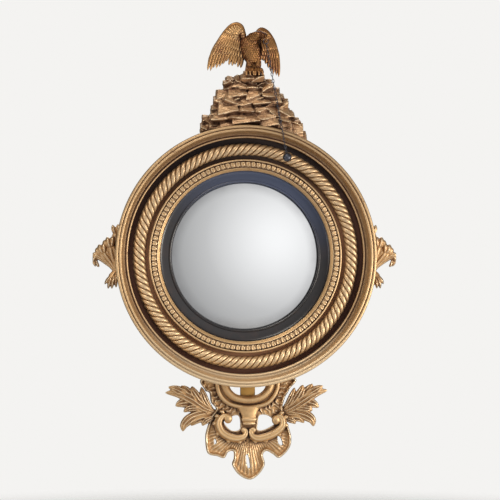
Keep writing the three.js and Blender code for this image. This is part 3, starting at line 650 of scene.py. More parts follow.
def silvered_glass(colours):
    """Old glass silvered behind: a clear, slightly soft reflection that greys towards the rim."""
    material, tree = new_material("silvered_glass")
    place = add(tree, "TexCoord").outputs["Object"]
    cloud = add(tree, "TexNoise", {"Vector": place, "Scale": 1 / (60 * MM), "Detail": 4.0, "Roughness": 0.55})
    radius = distance_across(tree, place, "X", "Z")
    rim = add(
        tree,
        "MapRange",
        {"Value": radius, "From Min": 150 * MM, "From Max": 184 * MM},
        interpolation_type="SMOOTHSTEP",
    )
    aged = add(tree, "Math", {0: rim, 1: cloud}, operation="MULTIPLY")
    colour = add(tree, "Mix", {"Factor": aged, "A": colours.silver, "B": linear("#A9A9AB")}, data_type="RGBA")
    rough = add(tree, "MapRange", {"Value": aged, "To Min": 0.03, "To Max": 0.12})
    shader = add(tree, "BsdfPrincipled", {"Base Color": colour, "Roughness": rough, "Metallic": 1.0})
    surface(tree, shader)
    return material


def worked_metal(name, colour, dull_colour, roughness, fleck_mm):
    """Forged or cast metal with a handled, patchy patina: brighter on the rubbed parts, dull in the pits."""
    material, tree = new_material(name)
    place = add(tree, "TexCoord").outputs["Object"]
    pits = add(
        tree, "TexNoise", {"Vector": place, "Scale": 1 / (fleck_mm * MM), "Detail": 4.0, "Roughness": 0.65}
    )
    patina = add(tree, "ValToRGB", {"Fac": pits}, stops=[(0.42, 0.0), (0.62, 1.0)])
    tone = add(tree, "Mix", {"Factor": patina, "A": colour, "B": dull_colour}, data_type="RGBA")
    metal = add(tree, "MapRange", {"Value": patina, "To Min": 0.9, "To Max": 0.45})
    rough = add(tree, "MapRange", {"Value": pits, "To Min": roughness - 0.12, "To Max": roughness + 0.16})
    bump = add(tree, "Bump", {"Height": pits, "Strength": 0.5, "Distance": 0.2 * MM})
    shader = add(
        tree, "BsdfPrincipled", {"Base Color": tone, "Metallic": metal, "Roughness": rough, "Normal": bump}
    )
    surface(tree, shader)
    return material


def old_pine(name, colours, dark_and_shaded_front):
    """Planed pine gone honey-brown: growth lines a few millimetres apart, darker knots and a dry, dusty face.

    The carcase's face in the hollow beside the rope is dark red-brown, lighter inside the rope, and darkened
    towards the top as painted shade.
    """
    material, tree = new_material(name)
    place = add(tree, "TexCoord").outputs["Object"]
    bent = add(tree, "TexNoise", {"Vector": place, "Scale": 1 / (140 * MM), "Detail": 2.0, "Roughness": 0.5})
    swayed = add(
        tree,
        "VectorMath",
        {0: bent.outputs["Color"], 1: (0.01, 0.01, 0.024), 2: place},
        operation="MULTIPLY_ADD",
    )
    stretched = add(tree, "Mapping", {"Vector": swayed, "Scale": (0.05, 1.0, 1.0)})
    lines = add(
        tree, "TexNoise", {"Vector": stretched, "Scale": 1 / (9 * MM), "Detail": 5.0, "Roughness": 0.65}
    )
    grown = add(tree, "ValToRGB", {"Fac": lines}, stops=[(0.38, 0.0), (0.66, 1.0)])
    fibre = add(
        tree, "TexNoise", {"Vector": stretched, "Scale": 1 / (2.2 * MM), "Detail": 3.0, "Roughness": 0.6}
    )
    light = add(tree, "Mix", {"Factor": grown, "A": colours.pine, "B": linear("#7F5830")}, data_type="RGBA")
    dusty = add(tree, "Mix", {"Factor": fibre, "A": light, "B": linear("#6E5135")}, data_type="RGBA")
    bump = add(tree, "Bump", {"Height": fibre, "Strength": 0.4, "Distance": 0.3 * MM})
    colour = dusty
    if dark_and_shaded_front:
        apart = add(tree, "SeparateXYZ", {"Vector": place})
        front = add(
            tree, "Math", {0: apart.outputs["Y"], 1: -(CARCASE_DEPTH - 0.5) * MM}, operation="LESS_THAN"
        )
        radius = distance_across(tree, place, "X", "Z")
        inside = add(tree, "Math", {0: radius, 1: 260 * MM}, operation="LESS_THAN")
        # Painted shade: the hollow's face darkens towards the top.
        height = add(
            tree, "MapRange", {"Value": apart.outputs["Z"], "From Min": 60 * MM, "From Max": 250 * MM}
        )
        ground = add(
            tree, "Mix", {"Factor": inside, "A": colours.ground, "B": linear("#8E6548")}, data_type="RGBA"
        )
        shaded = add(tree, "Mix", {"Factor": height, "A": ground, "B": linear("#25140F")}, data_type="RGBA")
        colour = add(tree, "Mix", {"Factor": front, "A": dusty, "B": shaded}, data_type="RGBA")
    shader = add(tree, "BsdfPrincipled", {"Base Color": colour, "Roughness": 0.72, "Normal": bump})
    surface(tree, shader)
    return material


# Each gilding's leaf and rubbed colours, its wear, the chisel marks' size and depth in mm, the width of the
# hollows darkened by dirt and painted shade in mm, where that darkening starts, how much painted shade
# darkens the top and how much painted light pales the bottom.
GILDINGS = {
    "water_gilding": ("leaf", "rubbed", 0.85, 7.0, 0.35, 7.0, 0.46, 0.42, 0.0),
    "moulding_gilding": ("leaf", "rubbed", 0.9, 7.0, 0.35, 26.0, 0.56, 0.36, 0.55),
    "rock_gilding": ("rock_leaf", "rock_rubbed", 1.0, 9.0, 0.9, 15.0, 0.46, 0.0, 0.0),
    "body_gilding": ("body_leaf", "body_rubbed", 1.1, 6.0, 0.5, 9.0, 0.54, 0.0, 0.0),
    "eagle_gilding": ("right_wing_leaf", "right_wing_rubbed", 1.1, 6.0, 0.5, 8.0, 0.54, 0.0, 0.0),
    "wing_gilding": ("left_wing_leaf", "left_wing_rubbed", 1.0, 6.0, 0.5, 7.0, 0.54, 0.0, 0.0),
    "leaf_gilding": ("apron_leaf", "rubbed", 0.9, 6.0, 0.5, 12.0, 0.56, 0.0, 0.0),
    "strap_gilding": ("strap_leaf", "strap_rubbed", 0.7, 12.0, 0.3, 9.0, 0.46, 0.0, 0.0),
}


def finish_named(name):
    """The finishes are made once, when the first piece asks for one."""
    if name not in bpy.data.materials:
        colours = bpy.context.scene.mirror_colours
        for gilding, (leaf, rubbed, *numbers) in GILDINGS.items():
            water_gilding(gilding, getattr(colours, leaf), getattr(colours, rubbed), colours, *numbers)
        ebonised_wood(colours)
        silvered_glass(colours)
        worked_metal("forged_iron", colours.iron, linear("#2B2C33"), 0.42, 4.0)
        worked_metal("rolled_brass", colours.brass, linear("#5F4A2B"), 0.4, 6.0)
        old_pine("old_pine", colours, False)
        old_pine("dark_and_shaded_pine", colours, True)
    return bpy.data.materials[name]


# ---------- The turned frame ----------


class MIRROR_OT_carcase(bpy.types.Operator):
    """Finishes the pine that the CAD model already has, and adds the back board's screws"""

    bl_idname = "mirror.carcase"
    bl_label = "Pine carcase and board"

    def execute(self, context):
        for name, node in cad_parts.items():
            if name in ("back_board", "crest_batten") or name.startswith("glazing_block"):
                finish = "old_pine"
            elif name == "frame_carcase":
                finish = "dark_and_shaded_pine"
            else:
                continue
            if not node.material_slots:
                node.data.materials.append(None)
            node.material_slots[0].material = finish_named(finish)
        bm = bmesh.new()
        screws, circle, sunk = 12, 214, 1.4
        for i in range(screws):
            turn = 2 * math.pi * (i + 0.5) / screws
            screw(bm, at(circle * math.sin(turn), sunk, circle * math.cos(turn)), 3.4, 0.7 * i)
        finished("board_screws", bm, finish_named("rolled_brass"), "frame", ())
        return {"FINISHED"}


class MIRROR_OT_mouldings(bpy.types.Operator):
    """Turns the outer moulding, with its beads, cove and lip"""

    bl_idname = "mirror.mouldings"
    bl_label = "Outer moulding"

    def execute(self, context):
        steps = context.scene.mirror_sizes.ring_steps
        bm = bmesh.new()
        profile = moulded(
            [
                (288, 42), (288, 60), (288, 60), (288.6, 63.5), (291, 65.2), (293.6, 64.2), (294.6, 62.4),
                (294.6, 62.4), (297, 63), (299.8, 66), (302.4, 72), (304.6, 79), (304.6, 79), (305, 82.4),
                (307.6, 84.2), (310.2, 83.4), (311, 82.3), (311, 82.3), (312.4, 82), (312.4, 82), (313, 83.8),
                (315.6, 85), (318.8, 83.4), (320, 79.6), (320, 79.6), (319.2, 72), (316.6, 64), (311, 54),
                (307.4, 46), (306, 42), (306, 42),
            ]
        )
        turned_ring(bm, profile, steps)
        gilded(bm, "outer_moulding", "turned", "moulding_gilding", 35)
        return {"FINISHED"}


class MIRROR_OT_rope(bpy.types.Operator):
    """Carves the rope that lies in the hollow"""

    bl_idname = "mirror.rope"
    bl_label = "Rope twist"

    def execute(self, context):
        sizes = context.scene.mirror_sizes
        radius, ring, ground = 15.2, 260.8, 42.0
        flat = math.radians(35)
        arc = math.pi + 2 * flat
        # Four strands make the rope, so each one leans by four places over a whole turn of its section.
        lean = 4 * arc / sizes.rope_strands
        middle = ground + radius * math.sin(flat)
        groove = sizes.rope_groove / MM
        round_share = 0.9
        bm = bmesh.new()

        def place(u, v):
            share = min(v / round_share, 1.0)
            strand = (u * sizes.rope_strands) % 1.0
            crown = (1 - abs(2 * strand - 1) ** 2.3) ** 0.85
            uneven = 0.25 * math.sin(97 * u * 2 * math.pi + 3) + 0.2 * math.sin(31 * u * 2 * math.pi)
            reach = radius - groove * (1 - crown) + 0.12 * uneven
            turn = -flat + arc * share
            angle = 2 * math.pi * u - lean * share
            out = ring + reach * math.cos(turn)
            depth = middle + reach * math.sin(turn)
            if v > round_share:
                back = (v - round_share) / (1 - round_share)
                start = ring + reach * math.cos(-flat + arc)
                finish = ring + reach * math.cos(-flat)
                out = start + (finish - start) * back
                angle = 2 * math.pi * u - lean * (1 - back)
                depth = ground
            return at(out * math.sin(angle), max(depth, ground), out * math.cos(angle))

        skin(bm, sizes.rope_strands * 12, 20, place)
        gilded(bm, "rope_twist", "carved", "water_gilding", 80)
        return {"FINISHED"}


class MIRROR_OT_inner_moulding(bpy.types.Operator):
    """Turns the inner moulding and carves its band of small leaves"""

    bl_idname = "mirror.inner_moulding"
    bl_label = "Inner moulding and carved band"

    def execute(self, context):
        sizes = context.scene.mirror_sizes
        bm = bmesh.new()
        profile = moulded(
            [
                (208.6, 42), (208.6, 45.4), (208.6, 45.4), (210.4, 48.4), (213.4, 51.6), (216, 53.6),
                (216, 53.6), (217.2, 51.6), (217.2, 51.6), (224, 52), (231.6, 51), (231.6, 51), (231.9, 54.6),
                (233.8, 56.9), (236, 55.8), (236.7, 53.4), (236.7, 53.4), (236.7, 42), (236.7, 42),
            ]
        )
        turned_ring(bm, profile, sizes.ring_steps)
        relief = sizes.band_relief / MM
        inner, outer, ground, front = 217.0, 231.8, 50.5, 53.6

        def place(u, v):
            leaves = u * sizes.band_leaves
            across = abs(2 * (leaves % 1.0) - 1)  # 1 between two leaves, 0 on a leaf's middle
            share = min(v / 0.9, 1.0)
            out = outer + (inner - outer) * share
            # A leaf hangs from the outer edge, round-shouldered, to a blunt point at the inner edge.
            fall = 0.34 if share < 0.3 else 0.66
            leaf = 0.86 * math.sqrt(max(0.0, 1 - (abs(share - 0.30) / fall) ** 2.2))
            inside = max(0.0, 1 - (across / leaf) ** 2) if leaf > 0.02 else 0.0
            eye = math.exp(-((across / 0.24) ** 2) - ((share - 0.36) / 0.2) ** 2)
            # Between the leaves a dart shows its tip at the inner edge.
            dart = max(0.0, 1 - ((1 - across) / 0.2) ** 2) * max(0.0, 1 - ((share - 0.78) / 0.24) ** 2)
            height = relief * (min(1.0, 1.5 * inside**0.5) - 0.6 * eye + 0.75 * dart)
            crown = 1.6 * math.sin(math.pi * share)
            edge = min(1.0, 8 * share, 8 * (1 - share))
            depth = ground + (front - ground + crown + height - 0.6 * relief) * edge
            if v > 0.9:
                out = inner + (outer - inner) * (v - 0.9) / 0.1
                depth = ground
            angle = 2 * math.pi * u
            return at(out * math.sin(angle), depth, out * math.cos(angle))

        skin(bm, sizes.band_leaves * 14, 20, place)
        gilded(bm, "inner_moulding", "carved", "water_gilding", 45)
        return {"FINISHED"}


class MIRROR_OT_slip_and_plate(bpy.types.Operator):
    """Turns the ebonised slip with its sight bead, and the convex silvered plate"""

    bl_idname = "mirror.slip_and_plate"
    bl_label = "Slip and convex plate"

    def execute(self, context):
        steps = context.scene.mirror_sizes.ring_steps
        bm = bmesh.new()
        profile = moulded(
            [
                (181, 26.7), (181, 30.4), (181, 30.4), (181.5, 32.4), (183.6, 33.6), (186, 32.8),
                (186.9, 31.4), (186.9, 31.4), (188, 31.4), (188, 31.4), (198, 33.0), (205, 35.2), (208, 38),
                (208.6, 41.7), (208.6, 41.7), (215.6, 41.7), (215.6, 41.7), (215.6, 18.3), (215.6, 18.3),
                (205, 18.3), (205, 18.3),
            ]
        )
        turned_ring(bm, profile, steps)
        finished("slip_turned", bm, finish_named("ebonised_wood"), "frame", ["slip"], 35)
        sphere, rim, thickness = 760.0, 205.0, 4.0
        apex = 18 + sphere - math.sqrt(sphere**2 - rim**2)
        front = []
        for i in range(41):
            radius = rim * i / 40
            front.append((radius, apex - sphere + math.sqrt(sphere**2 - radius**2)))
        bm = bmesh.new()
        turned_ring(bm, front + [(radius, depth - thickness) for radius, depth in reversed(front)], steps)
        glass = finish_named("silvered_glass")
        finished("mirror_plate_blown", bm, glass, "frame", ["mirror_plate"], 30)
        return {"FINISHED"}


# ---------- The crest ----------

# Rocks in front, course by course: left, right, foot and head above the rim's top, and the front's depth.
ROCKS = [
    (-111, -84, -26, 6, 60), (-94, -50, -22, 8, 69), (-64, -26, -16, 10, 70), (-34, 34, -6, 20, 74),
    (28, 80, -12, 14, 72), (70, 116, -24, 10, 71), (108, 144, -38, 6, 66), (130, 153, -52, -12, 58),
    (-106, -78, 4, 24, 58), (-88, -40, 6, 30, 66), (-50, -4, 10, 28, 70), (-10, 34, 16, 30, 66),
    (26, 74, 8, 32, 70), (68, 112, 6, 26, 67), (104, 138, -2, 18, 60), (-84, -56, 22, 42, 56),
    (-68, -14, 22, 50, 65), (-24, 24, 28, 50, 64), (16, 58, 26, 50, 68), (46, 84, 26, 54, 63),
    (76, 112, 20, 46, 60), (98, 124, 14, 34, 52), (-77, -44, 42, 72, 54), (-56, -14, 48, 70, 61),
    (-22, 26, 46, 66, 62), (18, 62, 46, 70, 63), (54, 88, 46, 74, 60), (80, 108, 40, 62, 52),
    (-72, -34, 60, 88, 53), (-44, 6, 64, 88, 58), (-2, 48, 62, 88, 60), (40, 80, 64, 86, 57),
    (68, 97, 58, 78, 50), (-55, -22, 82, 108, 48), (-32, 8, 84, 106, 54), (0, 46, 84, 104, 56),
    (38, 72, 80, 102, 54), (60, 88, 74, 94, 46), (-49, -20, 98, 117, 46), (-26, 4, 98, 120, 50),
    (2, 32, 100, 114, 56), (28, 52, 98, 114, 50), (46, 68, 92, 112, 46),
]
# Solid wood behind the slabs, given in the same way.
ROCK_CORE = [
    (-96, 130, -44, 2, 50), (-88, 112, -4, 26, 46), (-66, 92, 20, 52, 42), (-56, 82, 46, 80, 38),
    (-40, 60, 74, 108, 32),
]
ROCK_BACK = 12.6


def rock_slab(bm, left, right, foot, head, front, chance, back=ROCK_BACK):
    """One slab: its top slopes forward to a nose, and its underside is cut back."""
    rock = bmesh.new()
    width, height = right - left, head - foot
    tilt = chance.uniform(-0.16, 0.16)

    def corner(x_share, z_share, depth):
        z = foot + height * z_share + tilt * width * (x_share - 0.5)
        rock.verts.new(on_rim_top(left + width * x_share, depth, z))

    for x_share in (chance.uniform(0, 0.12), chance.uniform(0.88, 1)):
        corner(x_share, 0.1, back)
        corner(x_share, 0.9, back)
    for x_share in (chance.uniform(0.0, 0.35), chance.uniform(0.65, 1.0)):
        corner(x_share, chance.uniform(0.85, 1.18), front - chance.uniform(15, 25))
        corner(x_share, chance.uniform(-0.05, 0.15), front - chance.uniform(20, 30))
    # The nose is a ridge that runs up or down across the rock, so no two fronts face the same way.
    lift = chance.uniform(-0.3, 0.3)
    for x_share in (chance.uniform(-0.05, 0.12), chance.uniform(0.3, 0.7), chance.uniform(0.88, 1.05)):
        z_share = 0.38 + lift * (x_share - 0.5) * 2 + chance.uniform(-0.12, 0.12)
        corner(x_share, z_share, front - chance.uniform(-3, 9))
    hull = bmesh.ops.convex_hull(rock, input=rock.verts)
    spare = [v for v in hull["geom_interior"] + hull["geom_unused"] if isinstance(v, bmesh.types.BMVert)]
    bmesh.ops.delete(rock, geom=list(set(spare)), context="VERTS")
    bmesh.ops.bevel(
        rock, geom=rock.edges, offset=0.6 * MM, affect="EDGES", segments=1, profile=0.5, material=-1
    )
    joined(bm, rock)


class MIRROR_OT_rockwork(bpy.types.Operator):
    """Carves the rockwork crest, a ragged pile of angular slabs in courses"""

    bl_idname = "mirror.rockwork"
    bl_label = "Rockwork crest"

    def execute(self, context):
        sizes = context.scene.mirror_sizes
        chance = random.Random(sizes.chance)
        bm = bmesh.new()
        for left, right, foot, head, front in ROCKS:
            rock_slab(bm, left, right, foot - 4, head + 3, front + chance.uniform(-4, 3), chance)
            # A chip lies on the slab or has broken from its nose.
            middle = chance.uniform(left, right)
            size = chance.uniform(9, 16)
            chip_foot = chance.uniform(foot - 2, head - 8)
            inside = max(left, middle - size), min(right, middle + size)
            rock_slab(bm, *inside, chip_foot, chip_foot + 1.1 * size, front + chance.uniform(-5, 1), chance)
        for left, right, foot, head, front in ROCK_CORE:
            block(bm, on_rim_top(left, ROCK_BACK, foot), on_rim_top(right, front, head), 1.5)
        carved = fused(bm, sizes.rock_voxel, 1)
        for vert in carved.verts:
            place = vert.co / MM
            broad = noise.noise(Vector((place.x / 21, place.y / 16, place.z / 11)))
            rough = noise.noise(Vector((place.x / 9, place.y / 9, place.z / 4)))
            strokes = noise.noise(Vector(((place.x + place.z) / 6, place.y / 6, (place.z - place.x) / 2.2)))
            vert.co += vert.normal * (1.2 * broad + 0.7 * rough + 0.6 * strokes) * MM
        clear_of_frame(carved)
        stone = finish_named("rock_gilding")
        finished("rock_crest_carved", carved, stone, "frame", ["rock_crest"], 40)
        return {"FINISHED"}


def clear_of_frame(bm):
    """Moves points that would lie inside the round frame out to its edge, and those behind the wall to it."""
    for vert in bm.verts:
        x, depth, z = vert.co.x / MM, -vert.co.y / MM, vert.co.z / MM
        radius = math.hypot(x, z)
        edge = CARCASE_RADIUS + CLEARANCE
        if depth >= CARCASE_DEPTH:
            # In front of the carcase the moulding swells to its widest over 24 mm.
            edge = RIM + CLEARANCE - (RIM - CARCASE_RADIUS) * max(0.0, 1 - (depth - CARCASE_DEPTH) / 24)
        if radius < edge:
            scale = edge / radius
            x, z = x * scale, z * scale
        vert.co = at(x, max(depth, OFF_WALL), z)


# Each wing's long feathers: root, middle and tip, across and above the rim's top, from the outer edge in.
LEFT_FEATHERS = [
    ((-50, 226), (-78, 184), (-92, 134)), ((-46, 226), (-71, 184), (-85, 133)),
    ((-42, 225), (-64, 184), (-78, 140)), ((-38, 224), (-57, 184), (-71, 139)),
    ((-34, 222), (-50, 184), (-63, 143)), ((-30, 220), (-43, 184), (-55, 149)),
    ((-26, 218), (-37, 182), (-47, 156)), ((-22, 215), (-31, 180), (-40, 147)),
    ((-18, 212), (-25, 178), (-32, 145)), ((-14, 210), (-19, 176), (-25, 148)),
    ((-9, 208), (-12, 174), (-18, 142)), ((-4, 206), (-5, 172), (-11, 140)),
]
# Each wing's leading edge: across, above the rim's top, and in front of the wall.
LEFT_EDGE = [
    (-2, 205, 52), (-6, 226, 52), (-11, 241, 51), (-22, 247, 50), (-36, 242, 49), (-50, 228, 47),
    (-64, 209, 46), (-77, 188, 44), (-87, 165, 42), (-91, 148, 41),
]
RIGHT_FEATHERS = [
    ((60, 216), (79, 176), (83, 118)), ((57, 216), (73, 176), (77, 122)), ((54, 214), (67, 176), (70, 125)),
    ((51, 212), (62, 176), (63, 131)), ((47, 210), (57, 176), (57, 140)), ((43, 208), (51, 176), (51, 150)),
    ((39, 205), (45, 176), (45, 158)), ((35, 202), (39, 176), (39, 160)),
]
RIGHT_EDGE = [
    (26, 206, 50), (29, 222, 50), (36, 233, 50), (46, 233, 49), (58, 224, 48), (70, 206, 46), (78, 184, 44),
    (83, 160, 42), (84, 144, 40),
]


def lay_feathers(bm, feathers, half_width, depth, reach, facing):
    """Feathers side by side, turned a little so that each one's edge stands over its neighbour's."""
    for root, middle, tip in feathers:
        run = run_through([(*root, 0), (*middle, 0), (*tip, 0)])
        points = []
        for k in range(5):
            place = run(reach * k / 4)
            bowed = depth + 1.5 * math.sin(math.pi * k / 4) - 3 * reach * k / 4
            points.append(on_rim_top(place.x, bowed, place.y))
        blade(bm, points, feather_width(half_width), 0.62, 2.0, 16, 14, facing, 0.9)


def between_feathers(feathers):
    """A row of feathers that lie half-way between each one and the next."""
    row = []
    for first, second in zip(feathers, feathers[1:]):
        row.append([[(a + b) / 2 for a, b in zip(one, other)] for one, other in zip(first, second)])
    return row


def feather_on(bm, under, x, height, heading, length, half_width, lift=0.6):
    """One small feather on the carving under it, seen from the front. heading turns it from straight down."""
    way = Vector((math.sin(heading), 0, -math.cos(heading)))
    points = []
    for share, rise in ((0, -1.0), (0.5, 0.45), (1, lift)):
        spot = on_rim_top(x, 150, height) + way * (length * share * MM)
        hit, normal, _, _ = under.ray_cast(spot, BACK)
        if hit is None or normal.y > -0.2:
            return
        points.append(hit + normal * rise * MM)
    blade(bm, points, pointed(half_width), 0.16, 0.9, 8, 8, normal, 0.2)


class MIRROR_OT_wings(bpy.types.Operator):
    """Lays the wings: long feathers, a second row, coverts and the smooth leading edge"""

    bl_idname = "mirror.wings"
    bl_label = "Wings"

    def execute(self, context):
        for name, feathers, edge, side in (
            ("wing_left", LEFT_FEATHERS, LEFT_EDGE, -1),
            ("wing_right", RIGHT_FEATHERS, RIGHT_EDGE, 1),
        ):
            bm = bmesh.new()
            facing = Vector((-0.34 * side, -1, 0)).normalized()
            lay_feathers(bm, feathers, 4.6, 40, 1.0, facing)
            lay_feathers(bm, between_feathers(feathers), 4.2, 44, 0.64, facing)
            lay_feathers(bm, feathers[:-1], 4.4, 47, 0.42, facing)
            # Solid wood under the feathers: it swells along the leading edge and thins towards the tip.
            wood = bmesh.new()
            web = [(x, RIM + h) for x, h, _ in edge] + [(m[0], RIM + m[1]) for _, m, _ in feathers]
            slab(wood, web, [], 35, 43)
            line = [on_rim_top(x, depth - 3, h) for x, h, depth in edge]
            sweep(wood, line, oval_bar((7.5, 6.8), (2.3, 2.4)), 40, 16)
            heart = Vector((edge[0][0] + side * 22, edge[0][1] + 2))
            for share, half, deep in ((0.32, 11, 7.5), (0.62, 10, 6.5), (0.92, 8.5, 7.5)):
                swell = []
                for k, (x, h, depth) in enumerate(edge[1:8]):
                    place = Vector((x, h)).lerp(heart, share * (1 - 0.08 * k))
                    swell.append(on_rim_top(place.x, depth - 4, place.y))
                sweep(wood, swell, oval_bar((half, deep), (0.45 * half, 0.5 * deep)), 30, 18, cap=0.2)
            soft = fused(wood, 1.5 * MM, 14)
            self.coverts(bm, BVHTree.FromBMesh(soft), feathers, edge, side)
            joined(bm, soft)
            # Painted light and shade: the left wing gets the lighter copy of the gold, the right wing the
            # darker.
            gilded(bm, name, "feathered", "wing_gilding" if side < 0 else "eagle_gilding")
        return {"FINISHED"}

    def coverts(self, bm, under, feathers, edge, side):
        """Rows of short feathers that follow the leading edge, pointing as the long ones do."""
        rim = run_through([(x, h, 0) for x, h, _ in edge])
        heart = Vector((edge[0][0] + side * 22, edge[0][1] - 6, 0))
        for row in range(9):
            for column in range(17):
                share = 0.02 + 0.84 * (column + 0.5 * (row % 2)) / 17
                spot = rim(share).lerp(heart, 0.05 + 0.11 * row)
                near = min(feathers, key=lambda feather: abs(feather[0][0] - spot.x + side * 4))
                (root_x, root_h), (middle_x, middle_h), _ = near
                heading = math.atan2(middle_x - root_x, root_h - middle_h)
                feather_on(bm, under, spot.x, spot.y, heading, 8.0 + 1.2 * row, 2.9 + 0.25 * row, 0.4)


# The eagle's own rocks, given as the crest's are.
MOUND = [
    (-14, 24, 104, 127, 72), (14, 47, 105, 128, 73), (-6, 30, 114, 133, 66), (18, 44, 116, 133, 64),
    (-10, 12, 112, 126, 58), (28, 46, 112, 125, 60),
]


class MIRROR_OT_eagle(bpy.types.Operator):
    """Carves the eagle's body, bowed neck and head, legs, talons and tail, on a small mound"""

    bl_idname = "mirror.eagle"
    bl_label = "Eagle"

    def execute(self, context):
        sizes = context.scene.mirror_sizes
        chance = random.Random(sizes.chance + 2)
        bm = bmesh.new()
        torso = above_rim((19, 46, 150), (17, 49, 163), (12, 53, 183), (8, 54, 201), (8, 53, 214))
        neck = above_rim((5, 52, 196), (12, 61, 209), (22, 71, 216), (32, 80, 219), (40, 86, 217))

        def torso_reach(u, turn):
            swell = math.sin(math.pi * (0.1 + 0.75 * u))
            return (8 + 15 * swell) * MM, (8 + 12 * swell) * MM

        sweep(bm, torso, torso_reach, 24, 20)
        sweep(bm, neck, round_bar(15, 8), 20, 18)
        ball_at(bm, on_rim_top(41, 87, 216.5), 8.4, (1.0, 1.12, 0.95), 20)
        # Brow ridges over deep-set eyes, and the hooked beak.
        for side in (-1, 1):
            line = (40, 5.5, 89, 221.5), (42.5, 5.6, 94.5, 219.5), (44.4, 3.2, 97, 215.5)
            brow = [on_rim_top(x + side * aside, depth, height) for x, aside, depth, height in line]
            sweep(bm, brow, round_bar(1.8, 1.1), 8, 8)
        beak = above_rim((43, 90, 216.5), (45, 96.5, 215), (45.7, 99.6, 210.5), (45.6, 97.2, 203.4))
        sweep(bm, beak, oval_bar((5.0, 5.4), (1.1, 1.5)), 14, 12)
        talons = bmesh.new()
        for side in (-1, 1):
            ankle = 20 + side * 11
            leg = above_rim((20 + side * 7, 48, 164), (ankle, 53, 148), (ankle, 53, 131))
            sweep(bm, leg, round_bar(11, 4.6), 14, 14)
            for toe in (-1, 0, 1):
                knuckles = above_rim(
                    (ankle, 54, 135), (ankle + toe * 5.5, 65, 135.5), (ankle + toe * 8, 71, 130)
                )
                sweep(talons, knuckles, round_bar(4.8, 4.5), 10, 10)
                tip = ankle + toe * 9
                claw = above_rim((ankle + toe * 8, 70, 131), (tip, 75.5, 128), (tip, 76, 119.5))
                sweep(talons, claw, round_bar(4.2, 2.2), 8, 8)
        talons = fused(talons, sizes.carving_voxel, 2)
        # Painted light: the talons get the left wing's lighter gold.
        finished("talons_carved", talons, finish_named("wing_gilding"), "frame", (), 50)
        # It stands on a mound of its own.
        mound = bmesh.new()
        for left, right, foot, head, front in MOUND:
            rock_slab(mound, left, right, foot, head, front, chance, 28)
        mound = fused(mound, sizes.carving_voxel, 2)
        finished("mound_carved", mound, finish_named("rock_gilding"), "frame", (), 50)
        carved = fused(bm, sizes.carving_voxel, 3)
        for side in (-1, 1):
            ball_at(carved, on_rim_top(42 + side * 6.4, 92, 217), 1.7, (1, 1, 1), 10)
        self.plumage(carved, BVHTree.FromBMesh(carved), chance)
        # Tail feathers fan down behind the mound to the rock.
        for k in range(7):
            spread = k - 3
            line = (18, 2.4, 38, 172), (19, 4.2, 33, 146), (20, 5.6, 28, 115.5)
            feather = [on_rim_top(x + spread * fan, depth, height) for x, fan, depth, height in line]
            blade(carved, feather, feather_width(4.6), 0.3, 2.4, 12, 10, vein=0.8)
        gilded(carved, "eagle_body", "carved", "body_gilding")
        return {"FINISHED"}

    def plumage(self, bm, under, chance):
        """Low feathers over the breast, the neck and the thighs; on the neck they run back from the head."""
        for row in range(18):
            for column in range(15):
                x = -20 + 4.7 * (column + 0.5 * (row % 2)) + chance.uniform(-0.6, 0.6)
                height = 140 + 5.0 * row + chance.uniform(-0.5, 0.5)
                necked = min(1.0, max(0.0, (height - 194) / 16)) * min(1.0, max(0.0, (x + 2) / 12))
                if x > 34 and height > 205 or x > 24 and height < 144:
                    continue
                way = Vector(((x - 10) * 0.012, -1)).lerp(Vector((-1.0, -0.5)), necked)
                feather_on(bm, under, x, height, math.atan2(way.x, -way.y), 9.5, 3.2)


# ---------- The ball on its chain ----------


class MIRROR_OT_chain(bpy.types.Operator):
    """Forges the ring in the beak, the fine chain and the iron ball"""

    bl_idname = "mirror.chain"
    bl_label = "Chain and ball"

    def execute(self, context):
        iron = finish_named("forged_iron")
        centre = at(45.6, 97, 522)
        across, up = Vector((1, 0, 0)), Vector((0, 0, 1))
        ring, ring_wire, links, pitch, length, wire = 6, 0.9, 33, 8.1, 11.0, 0.8
        eye_radius, ball_radius, cast_radius = 2.6, 11, 10.7
        bm = bmesh.new()

        def ring_line(turn):
            return centre + (across * math.cos(turn) + up * math.sin(turn)) * ring * MM

        wire_loop(bm, ring_line, ring_wire, 40, 10)
        finished("beak_ring_forged", bm, iron, "beak_ring", ["beak_ring"], 60)
        lean = Matrix.Rotation(math.radians(-10.5), 3, "Y")
        first = -(ring - ring_wire - 0.3) + 2 * wire - length / 2
        bm = bmesh.new()
        for i in range(links):
            middle = centre + lean @ Vector((0, 0, (first - i * pitch) * MM))
            wide = lean @ (across if i % 2 else FRONT)
            facing = lean @ (FRONT if i % 2 else across)
            wire_loop(bm, oval(middle, 2.2, length / 2 - wire, wide, lean @ up), wire, 20, 8, facing)
        finished("ball_chain_forged", bm, iron, "ball_and_chain", ["ball_chain"], 60)
        foot = first - (links - 1) * pitch - length / 2
        eye = foot + 3.5 - wire - eye_radius
        bm = bmesh.new()
        eye_middle = centre + lean @ Vector((0, 0, eye * MM))
        eye_line = oval(eye_middle, eye_radius, eye_radius, lean @ across, lean @ up)
        wire_loop(bm, eye_line, wire, 20, 8, lean @ FRONT)
        middle = centre + lean @ Vector((0, 0, (eye - eye_radius - ball_radius + 1) * MM))
        ball_at(bm, middle, cast_radius, (1, 1, 1), 40)
        # Casting has left the ball a little uneven.
        for vert in bm.verts:
            if abs((vert.co - middle).length - cast_radius * MM) < 0.1 * MM:
                vert.co += (vert.co - middle).normalized() * 0.12 * MM * noise.noise(vert.co * 240)
        finished("ball_cast", bm, iron, "ball_and_chain", ["ball"], 60)
        return {"FINISHED"}


# ---------- The leaves at the sides ----------

